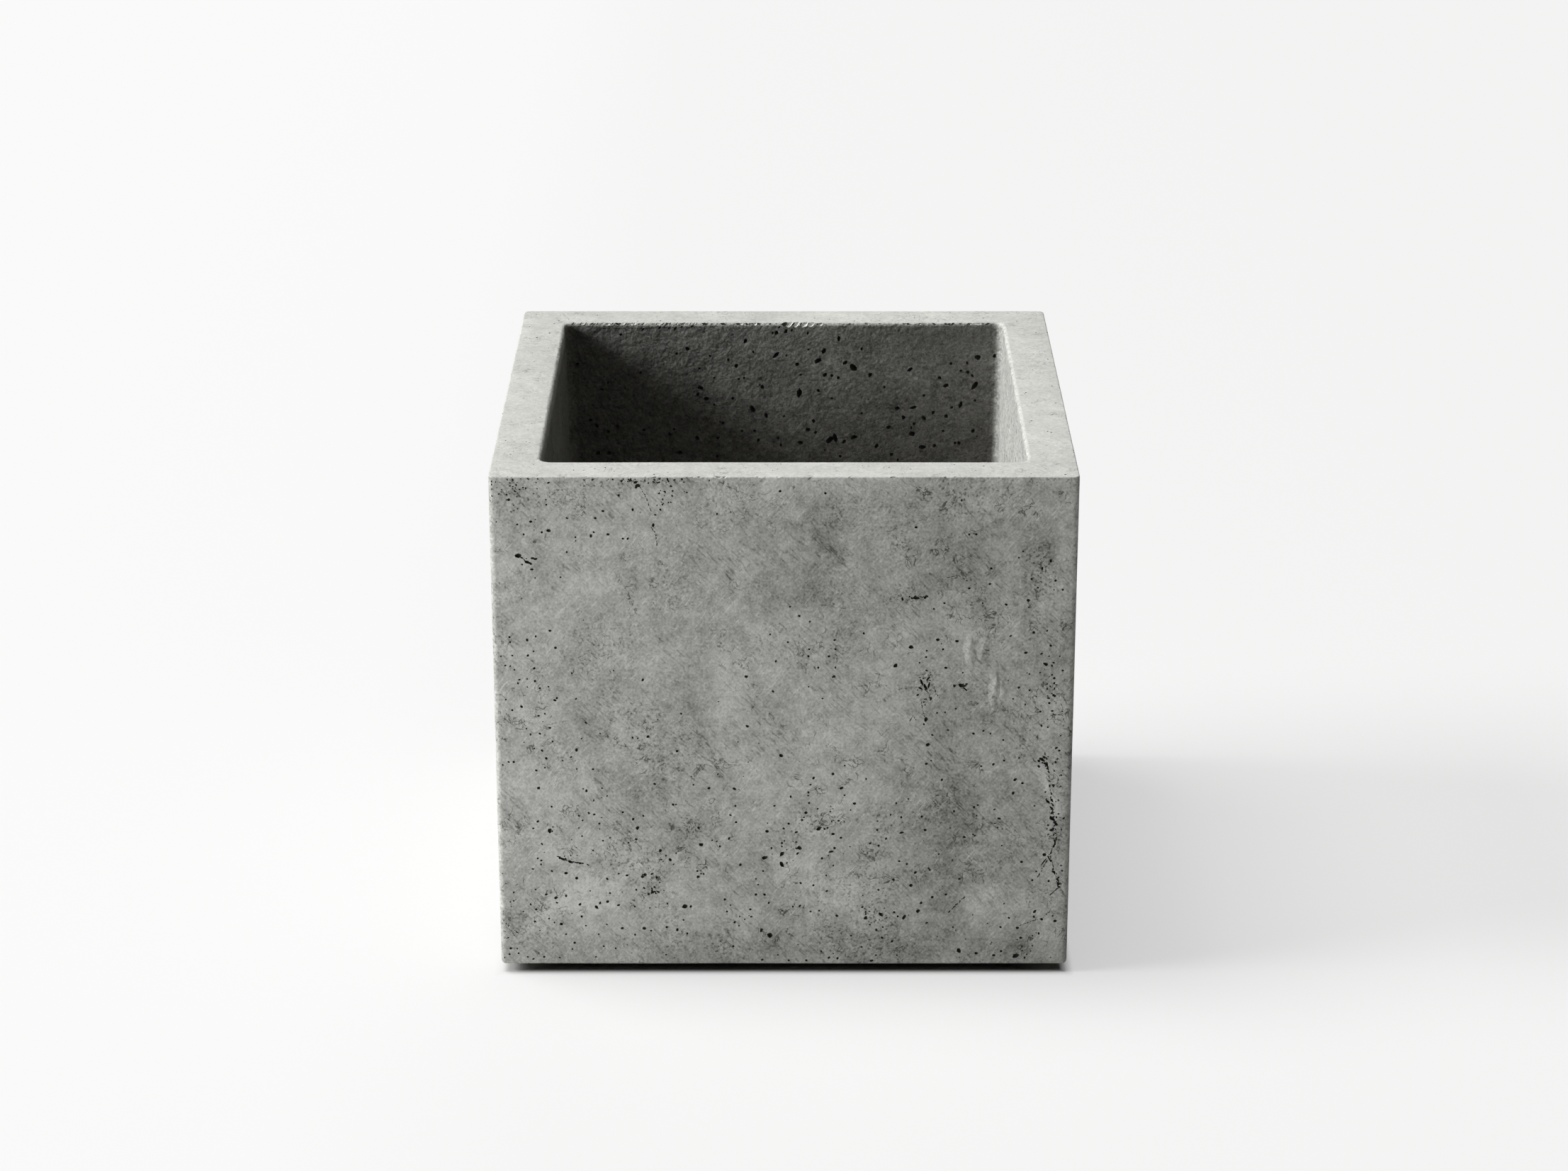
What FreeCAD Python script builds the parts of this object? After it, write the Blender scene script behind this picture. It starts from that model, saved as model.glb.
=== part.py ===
import FreeCAD, Part
import math
import os

# Cast concrete planter on four screwed feet, with a plugged drain. Millimetres, +Z up, front at -Y.
# The origin is on the ground, under the middle of the planter.

# Concrete tub
BODY_WIDTH = 400.0
BODY_DEPTH = 400.0
BODY_HEIGHT = 364.0
GROUND_GAP = 6.0
RIM_WALL = 33.5
CORE_DRAFT_DEGREES = 1.0
FLOOR_THICKNESS = 40.0
UPRIGHT_EDGE_RADIUS = 4.0
BASE_EDGE_RADIUS = 3.0
RIM_EDGE_RADIUS = 1.2
CAVITY_CORNER_RADIUS = 8.0
CAVITY_FLOOR_RADIUS = 3.0

# Reinforcing wires
WIRE_DIAMETER = 4.0
WALL_COVER = 12.0
FLOOR_COVER = 14.0
RIM_COVER = 30.0
TIE_GAP = 0.5
BEND_RADIUS = 20.0
HOOP_COUNT = 4
LOWEST_HOOP_ABOVE_BASE = 70.0
HOOP_END_GAP = 3.0
BAR_TO_DRAIN = 22.0
BAR_TO_FOOT_SOCKET = 20.0

# Drain fitting
DRAIN_BORE = 36.0
SLEEVE_WALL = 4.0
FLANGE_WIDTH = 8.0
FLANGE_THICKNESS = 3.0
SLEEVE_LIP_WIDTH = 2.5
SLEEVE_LIP_THICKNESS = 2.0
SCREEN_THICKNESS = 2.5
SCREEN_CLEARANCE = 0.1
SCREEN_HOLE = 4.5
SCREEN_HOLE_PITCH = 6.5
SCREEN_HOLE_RINGS = 2

# Drain plug
PLUG_DEPTH = 18.0
PLUG_TAPER = 1.5
PLUG_CLEARANCE = 0.3
PLUG_RIB_COUNT = 2
PLUG_RIB_HEIGHT = 0.9
PLUG_RIB_WIDTH = 2.6
PLUG_RIB_CHAMFER = 0.7
PLUG_HEAD_OVERLAP = 6.0
PLUG_HEAD_THICKNESS = 4.0
PLUG_HEAD_EDGE_RADIUS = 1.2
PULL_LOOP_RADIUS = 9.0
PULL_LOOP_THICKNESS = 4.4

# Feet and their fastenings
FOOT_DIAMETER = 52.0
FOOT_POCKET_DEPTH = 4.0
FOOT_POCKET_CLEARANCE = 0.3
FOOT_INSET = 50.0
FOOT_EDGE_CHAMFER = 1.5
FOOT_GROOVE_COUNT = 2
FOOT_GROOVE_WIDTH = 2.0
FOOT_GROOVE_DEPTH = 1.2
FOOT_HOLE_CLEARANCE = 0.3
WASHER_DIAMETER = 20.0
WASHER_THICKNESS = 1.6
WASHER_BORE_CLEARANCE = 0.2
WASHER_RECESS_CLEARANCE = 0.5
SCREW_DIAMETER = 6.0
SCREW_LENGTH = 26.0
SCREW_TIP_CHAMFER = 0.8
SCREW_HEAD_DIAMETER = 12.0
SCREW_HEAD_HEIGHT = 2.8
SCREW_HEAD_ABOVE_GROUND = 0.6
SCREW_HEAD_CHAMFER = 0.5
HEX_KEY = 4.0
HEX_KEY_DEPTH = 1.6
SOCKET_WALL = 2.9
SOCKET_LENGTH = 25.0
SOCKET_END = 3.0
SOCKET_COLLAR_HEIGHT = 1.5
SOCKET_COLLAR_WIDTH = 3.0
THREAD_CLEARANCE = 0.1

# Levels and radii that follow from the sizes above
BASE_Z = GROUND_GAP
CAVITY_FLOOR_Z = BASE_Z + FLOOR_THICKNESS
RIM_Z = BASE_Z + BODY_HEIGHT
POCKET_Z = BASE_Z + FOOT_POCKET_DEPTH
SLEEVE_RADIUS = DRAIN_BORE / 2 + SLEEVE_WALL
FLANGE_RADIUS = SLEEVE_RADIUS + FLANGE_WIDTH
SOCKET_BORE_RADIUS = SCREW_DIAMETER / 2 + THREAD_CLEARANCE
SOCKET_RADIUS = SOCKET_BORE_RADIUS + SOCKET_WALL
COLLAR_RADIUS = SOCKET_RADIUS + SOCKET_COLLAR_HEIGHT
SCREW_SEAT_Z = SCREW_HEAD_ABOVE_GROUND + SCREW_HEAD_HEIGHT
WASHER_SEAT_Z = SCREW_SEAT_Z + WASHER_THICKNESS
HIGHEST_WIRE_Z = RIM_Z - RIM_COVER
HOOP_INSET = WALL_COVER + WIRE_DIAMETER / 2
LEG_INSET = HOOP_INSET + WIRE_DIAMETER + TIE_GAP
SIDE_BAR_Z = BASE_Z + FLOOR_COVER + WIRE_DIAMETER / 2
FRONT_BAR_Z = SIDE_BAR_Z + WIRE_DIAMETER + TIE_GAP

UP = FreeCAD.Vector(0, 0, 1)
CUT_ALLOWANCE = 5.0


def point(x, y, z):
    return FreeCAD.Vector(x, y, z)


def cylinder(radius, low, high, x=0.0, y=0.0):
    return Part.makeCylinder(radius, high - low, point(x, y, low), UP)


def turned(profile):
    """Solid of revolution about Z from (radius, height) corners."""
    corners = [point(radius, 0, height) for radius, height in profile]
    outline = Part.makePolygon(corners + corners[:1])
    return Part.Face(outline).revolve(point(0, 0, 0), UP, 360)


def foot_centres():
    """Where the feet stand, by the name of each corner."""
    x = BODY_WIDTH / 2 - FOOT_INSET
    y = BODY_DEPTH / 2 - FOOT_INSET
    return {"front_left": (-x, -y), "front_right": (x, -y), "rear_left": (-x, y), "rear_right": (x, y)}


def moved_to_feet(shape):
    """One copy of a shape at every foot, as separate solids."""
    copies = []
    for x, y in foot_centres().values():
        copy = shape.copy()
        copy.translate(point(x, y, 0))
        copies.append(copy)
    return copies


def edges_at_height(shape, height):
    return [edge for edge in shape.Edges
            if abs(edge.BoundBox.ZMin - height) < 1e-4 and abs(edge.BoundBox.ZMax - height) < 1e-4]


def edges_between_heights(shape, low, high):
    return [edge for edge in shape.Edges
            if abs(edge.BoundBox.ZMin - low) < 1e-4 and abs(edge.BoundBox.ZMax - high) < 1e-4]


def bent_wire(corners):
    """Round wire through right-angled corners, each bent to the bend radius."""
    edges = []
    start = corners[0]
    for index in range(1, len(corners) - 1):
        corner = corners[index]
        way_in = (corner - corners[index - 1]).normalize()
        way_out = (corners[index + 1] - corner).normalize()
        bend_start = corner - way_in * BEND_RADIUS
        bend_end = corner + way_out * BEND_RADIUS
        centre = bend_start + way_out * BEND_RADIUS
        bend_middle = centre + (way_in - way_out) * (BEND_RADIUS / math.sqrt(2))
        edges.append(Part.LineSegment(start, bend_start).toShape())
        edges.append(Part.Arc(bend_start, bend_middle, bend_end).toShape())
        start = bend_end
    edges.append(Part.LineSegment(start, corners[-1]).toShape())
    section = Part.Wire([Part.makeCircle(WIRE_DIAMETER / 2, corners[0], corners[1] - corners[0])])
    return Part.Wire(edges).makePipeShell([section], True, False)


def wire_cage():
    """Hoops round the walls and U-bars under the floor, by node name."""
    cage = {}
    x = BODY_WIDTH / 2 - HOOP_INSET
    y = BODY_DEPTH / 2 - HOOP_INSET
    lowest = BASE_Z + LOWEST_HOOP_ABOVE_BASE
    spacing = (HIGHEST_WIRE_Z - WIRE_DIAMETER / 2 - lowest) / (HOOP_COUNT - 1)
    for number in range(HOOP_COUNT):
        z = lowest + number * spacing
        ends = HOOP_END_GAP / 2
        cage[f"hoop_{number + 1}"] = bent_wire([
            point(ends, y, z), point(x, y, z), point(x, -y, z), point(-x, -y, z),
            point(-x, y, z), point(-ends, y, z)])
    inner = FLANGE_RADIUS + BAR_TO_DRAIN
    foot_x, foot_y = foot_centres()["rear_right"]
    keep_off_socket = COLLAR_RADIUS + BAR_TO_FOOT_SOCKET
    leg_x = BODY_WIDTH / 2 - LEG_INSET
    leg_y = BODY_DEPTH / 2 - LEG_INSET
    for number, side in enumerate((-(foot_y - keep_off_socket), -inner, inner, foot_y - keep_off_socket)):
        cage[f"side_bar_{number + 1}"] = bent_wire([
            point(-leg_x, side, HIGHEST_WIRE_Z), point(-leg_x, side, SIDE_BAR_Z),
            point(leg_x, side, SIDE_BAR_Z), point(leg_x, side, HIGHEST_WIRE_Z)])
    for number, side in enumerate((-(foot_x - keep_off_socket), -inner, inner, foot_x - keep_off_socket)):
        cage[f"front_bar_{number + 1}"] = bent_wire([
            point(side, -leg_y, HIGHEST_WIRE_Z), point(side, -leg_y, FRONT_BAR_Z),
            point(side, leg_y, FRONT_BAR_Z), point(side, leg_y, HIGHEST_WIRE_Z)])
    return cage


def cavity():
    """Space that the mould's core leaves, wider at the top so that the core pulls out."""
    top = RIM_Z + CUT_ALLOWANCE
    spread = math.tan(math.radians(CORE_DRAFT_DEGREES))
    low_x = BODY_WIDTH / 2 - RIM_WALL - (RIM_Z - CAVITY_FLOOR_Z) * spread
    low_y = BODY_DEPTH / 2 - RIM_WALL - (RIM_Z - CAVITY_FLOOR_Z) * spread
    high_x = low_x + (top - CAVITY_FLOOR_Z) * spread
    high_y = low_y + (top - CAVITY_FLOOR_Z) * spread
    core = Part.makeWedge(-low_x, CAVITY_FLOOR_Z, -low_y, -high_y, -high_x,
                          low_x, top, low_y, high_y, high_x)
    core.rotate(point(0, 0, 0), point(1, 0, 0), 90)
    core = core.makeFillet(CAVITY_CORNER_RADIUS, edges_between_heights(core, CAVITY_FLOOR_Z, top))
    return core.makeFillet(CAVITY_FLOOR_RADIUS, edges_at_height(core, CAVITY_FLOOR_Z))


def socket_outside():
    """Outside of a cast-in foot socket, with two collars that key it into the concrete."""
    top = POCKET_Z + SOCKET_LENGTH
    low_collar = POCKET_Z + 2 * SOCKET_COLLAR_WIDTH
    high_collar = top - SOCKET_COLLAR_WIDTH
    return turned([
        (0, POCKET_Z), (SOCKET_RADIUS, POCKET_Z), (SOCKET_RADIUS, low_collar), (COLLAR_RADIUS, low_collar),
        (COLLAR_RADIUS, low_collar + SOCKET_COLLAR_WIDTH), (SOCKET_RADIUS, low_collar + SOCKET_COLLAR_WIDTH),
        (SOCKET_RADIUS, high_collar), (COLLAR_RADIUS, high_collar), (COLLAR_RADIUS, top), (0, top)])


def sleeve_outside():
    """Outside of the drain sleeve: a tube with a flange that lies flush in the cavity's floor."""
    flange_z = CAVITY_FLOOR_Z - FLANGE_THICKNESS
    return turned([
        (0, BASE_Z), (SLEEVE_RADIUS, BASE_Z), (SLEEVE_RADIUS, flange_z), (FLANGE_RADIUS, flange_z),
        (FLANGE_RADIUS, CAVITY_FLOOR_Z), (0, CAVITY_FLOOR_Z)])


def concrete_tub():
    """Walls and floor in one casting, with the holes of the drain and the feet.

    It is solid right through: the wires are cast in and share its space.
    """
    corner = point(-BODY_WIDTH / 2, -BODY_DEPTH / 2, BASE_Z)
    block = Part.makeBox(BODY_WIDTH, BODY_DEPTH, BODY_HEIGHT, corner)
    block = block.makeFillet(UPRIGHT_EDGE_RADIUS, edges_between_heights(block, BASE_Z, RIM_Z))
    block = block.makeFillet(BASE_EDGE_RADIUS, edges_at_height(block, BASE_Z))
    tub = block.cut(cavity())
    tub = tub.makeFillet(RIM_EDGE_RADIUS, edges_at_height(tub, RIM_Z))
    pocket = cylinder(FOOT_DIAMETER / 2 + FOOT_POCKET_CLEARANCE, BASE_Z - CUT_ALLOWANCE, POCKET_Z)
    hollows = moved_to_feet(pocket) + moved_to_feet(socket_outside())
    return tub.cut(hollows + [sleeve_outside()])


def drain_sleeve():
    """Flanged tube with a lip at its lower end that carries the screen."""
    lip_z = BASE_Z + SLEEVE_LIP_THICKNESS
    bore = cylinder(DRAIN_BORE / 2, lip_z, CAVITY_FLOOR_Z + CUT_ALLOWANCE)
    outlet = cylinder(DRAIN_BORE / 2 - SLEEVE_LIP_WIDTH, BASE_Z - CUT_ALLOWANCE, lip_z + CUT_ALLOWANCE)
    return sleeve_outside().cut([bore, outlet])


def drain_screen():
    """Round grating on the sleeve's lip, with holes in rings about a middle one."""
    low = BASE_Z + SLEEVE_LIP_THICKNESS
    high = low + SCREEN_THICKNESS
    holes = [cylinder(SCREEN_HOLE / 2, low - CUT_ALLOWANCE, high + CUT_ALLOWANCE)]
    for ring in range(1, SCREEN_HOLE_RINGS + 1):
        count = 6 * ring
        for number in range(count):
            angle = 2 * math.pi * number / count
            reach = ring * SCREEN_HOLE_PITCH
            holes.append(cylinder(SCREEN_HOLE / 2, low - CUT_ALLOWANCE, high + CUT_ALLOWANCE,
                                  reach * math.cos(angle), reach * math.sin(angle)))
    return cylinder(DRAIN_BORE / 2 - SCREEN_CLEARANCE, low, high).cut(holes)


def drain_plug():
    """Tapered stopper with sealing ribs and a pull loop, whose head rests on the sleeve's flange."""
    rib_radius = DRAIN_BORE / 2 - PLUG_CLEARANCE
    stem_radius = rib_radius - PLUG_RIB_HEIGHT
    low = CAVITY_FLOOR_Z - PLUG_DEPTH
    head_z = CAVITY_FLOOR_Z + PLUG_HEAD_THICKNESS
    stem = Part.makeCone(stem_radius - PLUG_TAPER, stem_radius, PLUG_DEPTH, point(0, 0, low), UP)
    ribs = []
    for number in range(1, PLUG_RIB_COUNT + 1):
        rib_low = CAVITY_FLOOR_Z - number * PLUG_DEPTH / (PLUG_RIB_COUNT + 1) - PLUG_RIB_WIDTH / 2
        rib_high = rib_low + PLUG_RIB_WIDTH
        rib = cylinder(rib_radius, rib_low, rib_high)
        rib_edges = edges_at_height(rib, rib_low) + edges_at_height(rib, rib_high)
        ribs.append(rib.makeChamfer(PLUG_RIB_CHAMFER, rib_edges))
    head = cylinder(DRAIN_BORE / 2 + PLUG_HEAD_OVERLAP, CAVITY_FLOOR_Z, head_z)
    head = head.makeFillet(PLUG_HEAD_EDGE_RADIUS, edges_at_height(head, head_z))
    section = Part.makeCircle(PULL_LOOP_THICKNESS / 2, point(PULL_LOOP_RADIUS, 0, head_z), UP)
    loop = Part.Face(Part.Wire([section])).revolve(point(0, 0, head_z), point(0, -1, 0), 180)
    return head.fuse([stem, loop] + ribs).removeSplitter()


def foot():
    """Rubber disc with a grooved sole and a recess from below for the washer and the screw's head."""
    disc = cylinder(FOOT_DIAMETER / 2, 0, POCKET_Z)
    disc = disc.makeChamfer(FOOT_EDGE_CHAMFER, edges_at_height(disc, 0))
    recess_radius = WASHER_DIAMETER / 2 + WASHER_RECESS_CLEARANCE
    recess = cylinder(recess_radius, -CUT_ALLOWANCE, WASHER_SEAT_Z)
    hole = cylinder(SCREW_DIAMETER / 2 + FOOT_HOLE_CLEARANCE, -CUT_ALLOWANCE, POCKET_Z + CUT_ALLOWANCE)
    sole_width = FOOT_DIAMETER / 2 - FOOT_EDGE_CHAMFER - recess_radius
    grooves = []
    for number in range(1, FOOT_GROOVE_COUNT + 1):
        middle = recess_radius + number * sole_width / (FOOT_GROOVE_COUNT + 1)
        outer = cylinder(middle + FOOT_GROOVE_WIDTH / 2, -CUT_ALLOWANCE, FOOT_GROOVE_DEPTH)
        inner = cylinder(middle - FOOT_GROOVE_WIDTH / 2, -CUT_ALLOWANCE, FOOT_GROOVE_DEPTH)
        grooves.append(outer.cut(inner))
    return disc.cut([recess, hole] + grooves)


def foot_socket():
    bore_end = POCKET_Z + SOCKET_LENGTH - SOCKET_END
    return socket_outside().cut(cylinder(SOCKET_BORE_RADIUS, POCKET_Z - CUT_ALLOWANCE, bore_end))


def foot_washer():
    ring = cylinder(WASHER_DIAMETER / 2, SCREW_SEAT_Z, WASHER_SEAT_Z)
    bore = cylinder(SCREW_DIAMETER / 2 + WASHER_BORE_CLEARANCE,
                    SCREW_SEAT_Z - CUT_ALLOWANCE, WASHER_SEAT_Z + CUT_ALLOWANCE)
    return ring.cut(bore)


def foot_screw():
    """Low-headed screw with a hexagon recess, driven up from below."""
    tip_z = SCREW_SEAT_Z + SCREW_LENGTH
    shank = cylinder(SCREW_DIAMETER / 2, SCREW_SEAT_Z, tip_z)
    shank = shank.makeChamfer(SCREW_TIP_CHAMFER, edges_at_height(shank, tip_z))
    head = cylinder(SCREW_HEAD_DIAMETER / 2, SCREW_HEAD_ABOVE_GROUND, SCREW_SEAT_Z)
    head = head.makeChamfer(SCREW_HEAD_CHAMFER, edges_at_height(head, SCREW_HEAD_ABOVE_GROUND))
    key_radius = HEX_KEY / math.sqrt(3)
    corners = [point(key_radius * math.cos(math.radians(60 * number)),
                     key_radius * math.sin(math.radians(60 * number)),
                     SCREW_HEAD_ABOVE_GROUND) for number in range(7)]
    recess = Part.Face(Part.makePolygon(corners)).extrude(UP * HEX_KEY_DEPTH)
    return head.fuse(shank).removeSplitter().cut(recess)


def planter():
    """Every piece in its place, by node name."""
    pieces = {"concrete_tub": concrete_tub()}
    pieces.update(wire_cage())
    pieces["drain_sleeve"] = drain_sleeve()
    pieces["drain_screen"] = drain_screen()
    pieces["drain_plug"] = drain_plug()
    for corner, one_foot in zip(foot_centres(), moved_to_feet(foot())):
        pieces[f"foot_{corner}"] = one_foot
    pieces["foot_sockets"] = Part.makeCompound(moved_to_feet(foot_socket()))
    pieces["foot_washers"] = Part.makeCompound(moved_to_feet(foot_washer()))
    pieces["foot_screws"] = Part.makeCompound(moved_to_feet(foot_screw()))
    return pieces


os.makedirs("parts", exist_ok=True)
for node, shape in planter().items():
    if not shape.isValid():
        raise ValueError(f"{node} is not a valid shape")
    shape.exportStep(f"parts/{node}.step")
    print(f"{node}: {len(shape.Solids)} solid(s), {shape.Volume / 1000:.2f} cm3")
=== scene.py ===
import math
import random
from collections import defaultdict, namedtuple

import bmesh
import bpy
from bpy.props import FloatProperty, FloatVectorProperty, IntProperty, PointerProperty
from mathutils import Matrix, Vector, noise


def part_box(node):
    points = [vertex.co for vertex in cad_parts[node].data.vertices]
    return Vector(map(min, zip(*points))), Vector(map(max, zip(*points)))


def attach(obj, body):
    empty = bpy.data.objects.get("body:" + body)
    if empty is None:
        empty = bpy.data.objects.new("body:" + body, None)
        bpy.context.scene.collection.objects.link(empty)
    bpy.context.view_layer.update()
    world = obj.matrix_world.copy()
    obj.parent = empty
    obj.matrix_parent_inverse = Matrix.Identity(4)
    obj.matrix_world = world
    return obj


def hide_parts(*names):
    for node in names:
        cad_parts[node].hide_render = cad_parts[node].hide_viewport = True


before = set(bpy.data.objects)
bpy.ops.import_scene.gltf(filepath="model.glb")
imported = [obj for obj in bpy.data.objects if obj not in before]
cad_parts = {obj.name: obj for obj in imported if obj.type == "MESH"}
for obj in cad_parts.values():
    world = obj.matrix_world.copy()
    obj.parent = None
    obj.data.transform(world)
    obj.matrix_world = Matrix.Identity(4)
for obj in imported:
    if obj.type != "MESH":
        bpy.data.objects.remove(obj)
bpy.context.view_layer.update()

bl_info = {
    "name": "Concrete planter",
    "version": (1, 0, 0),
    "blender": (4, 5, 0),
    "location": "View3D > Sidebar > Planter",
    "description": "Finishes a cast concrete planter around its packed frame and lights it on a stage",
    "category": "Add Mesh",
}

MM = 0.001

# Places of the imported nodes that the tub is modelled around
TUB_LOW, TUB_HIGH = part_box("concrete_tub")
SLEEVE_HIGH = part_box("drain_sleeve")[1]
FEET = ("foot_front_left", "foot_front_right", "foot_rear_left", "foot_rear_right")
RIM_Z = TUB_HIGH.z
FLOOR_Z = SLEEVE_HIGH.z
HALF_WIDTH = TUB_HIGH.x
HALF_DEPTH = TUB_HIGH.y

# The photograph's frame in pixels, and the camera that took it
IMAGE_WIDTH = 2213
IMAGE_HEIGHT = 1652
CAMERA_PLACE = Vector((0.0, -2.6856, 1.2088))
CAMERA_TILT = math.radians(69.75)
CAMERA_LENS = 89.25
CAMERA_SENSOR = 36.0

# Material slots of the tub: the cast skin, the inside of an open pore, dark with painted shade, and a fresh
# break
SKIN = 0
PORE = 1
BREAK = 2

# Points closer than this are one point
SAME_PLACE = 1e-6
# Edges of the plain block that turn by more than this are rounded, and edges of the carved one shaded sharp
SHARP_ANGLE = 0.5
SMOOTH_ANGLE = math.radians(32)

# Depths of the kinds of pit, as shares of their mean width
PORE_DEPTH = 0.55
SEEN_PORE_DEPTH = 0.6
WALL_CHIP_DEPTH = 0.4
EDGE_CHIP_DEPTH = 0.45
NICK_DEPTH = 0.5
LIP_STROKE_DEPTH = 0.3

# How far a pore's middle lies below the skin, and how far a pit reaches, as a share of its length
PORE_SUNK = 0.1 * MM
PIT_REACH = 0.62

# Pores at random: spread of their widths, least and greatest width in millimetres, most length by width
PORE_SPREAD = 0.32
NARROWEST_PORE = 0.75
WIDEST_PORE = 3.4
PORE_STRETCH = 1.5

# Clumps of pores across a panel, and how much the density swings between them
CLUMPS_ACROSS = 9
CLUMP_SWING = 0.9

# Usual width in millimetres of the small pores seen on the front and on the inner back wall
FRONT_SMALL_WIDTH = 1.6
BACK_SMALL_WIDTH = 2.5

# Ranges of the widths of pits, by their usual width, and of their lengths, by their own width
SMALL_PORE_WIDTHS = (0.75, 1.25)
SMALL_PORE_LENGTHS = (1.0, 1.45)
CLUSTER_WIDTHS = (0.7, 1.5)
CLUSTER_LENGTHS = (1.0, 1.8)
CHAIN_WIDTHS = (0.6, 1.3)
CHAIN_LENGTHS = (1.6, 3.2)
NICK_WIDTHS = (0.6, 1.2)
NICK_LENGTHS = (1.0, 2.4)

# Pits of a cluster keep this far from the sides and from the top and bottom of their panel
CLUSTER_MARGINS = (2.5 * MM, 1.6 * MM)

# Chains of pits: their distance and scatter in widths of a pit, and the scatter of their turn in radians
CHAIN_PITCH = 2.2
CHAIN_SCATTER = 0.25
CHAIN_SWING = 0.35

# Nicks along the edges: number on each edge, and usual width in millimetres
UPRIGHT_NICKS = (6, 3.0)
RIM_NICKS = (34, 1.7)
BASE_NICKS = (26, 2.6)
BACK_LIP_NICKS = (110, 1.9)
FRONT_LIP_NICKS = (40, 1.9)
SIDE_LIP_NICKS = (30, 1.6)
# Part of an edge's length, at its two ends together, that has no nicks, and scatter of their turn in radians
NICK_MARGIN = 12 * MM
NICK_SWING = 0.3

# Balls that the pits are cut with: subdivisions, number, unevenness, radius
COARSE_BALLS = (1, 4, 0.12, 1.09)
FINE_BALLS = (2, 8, 0.22, 1.0)
# Pits longer than this are cut with the finer balls
FINE_PIT = 3.0 * MM
# Pits are looked up by cells of this size to see which of them touch
PIT_CELL = 8 * MM
# What rounding takes off a square edge, seen at 45 degrees, as a share of its radius
CORNER_LOSS = math.sqrt(2) - 1

# Holes for the fittings: how far they are cut past the concrete, room round a foot, sides of their circles
CUT_ALLOWANCE = 5 * MM
FOOT_CLEARANCE = 0.3 * MM
DRAIN_SIDES = 96
FOOT_SIDES = 72

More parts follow.
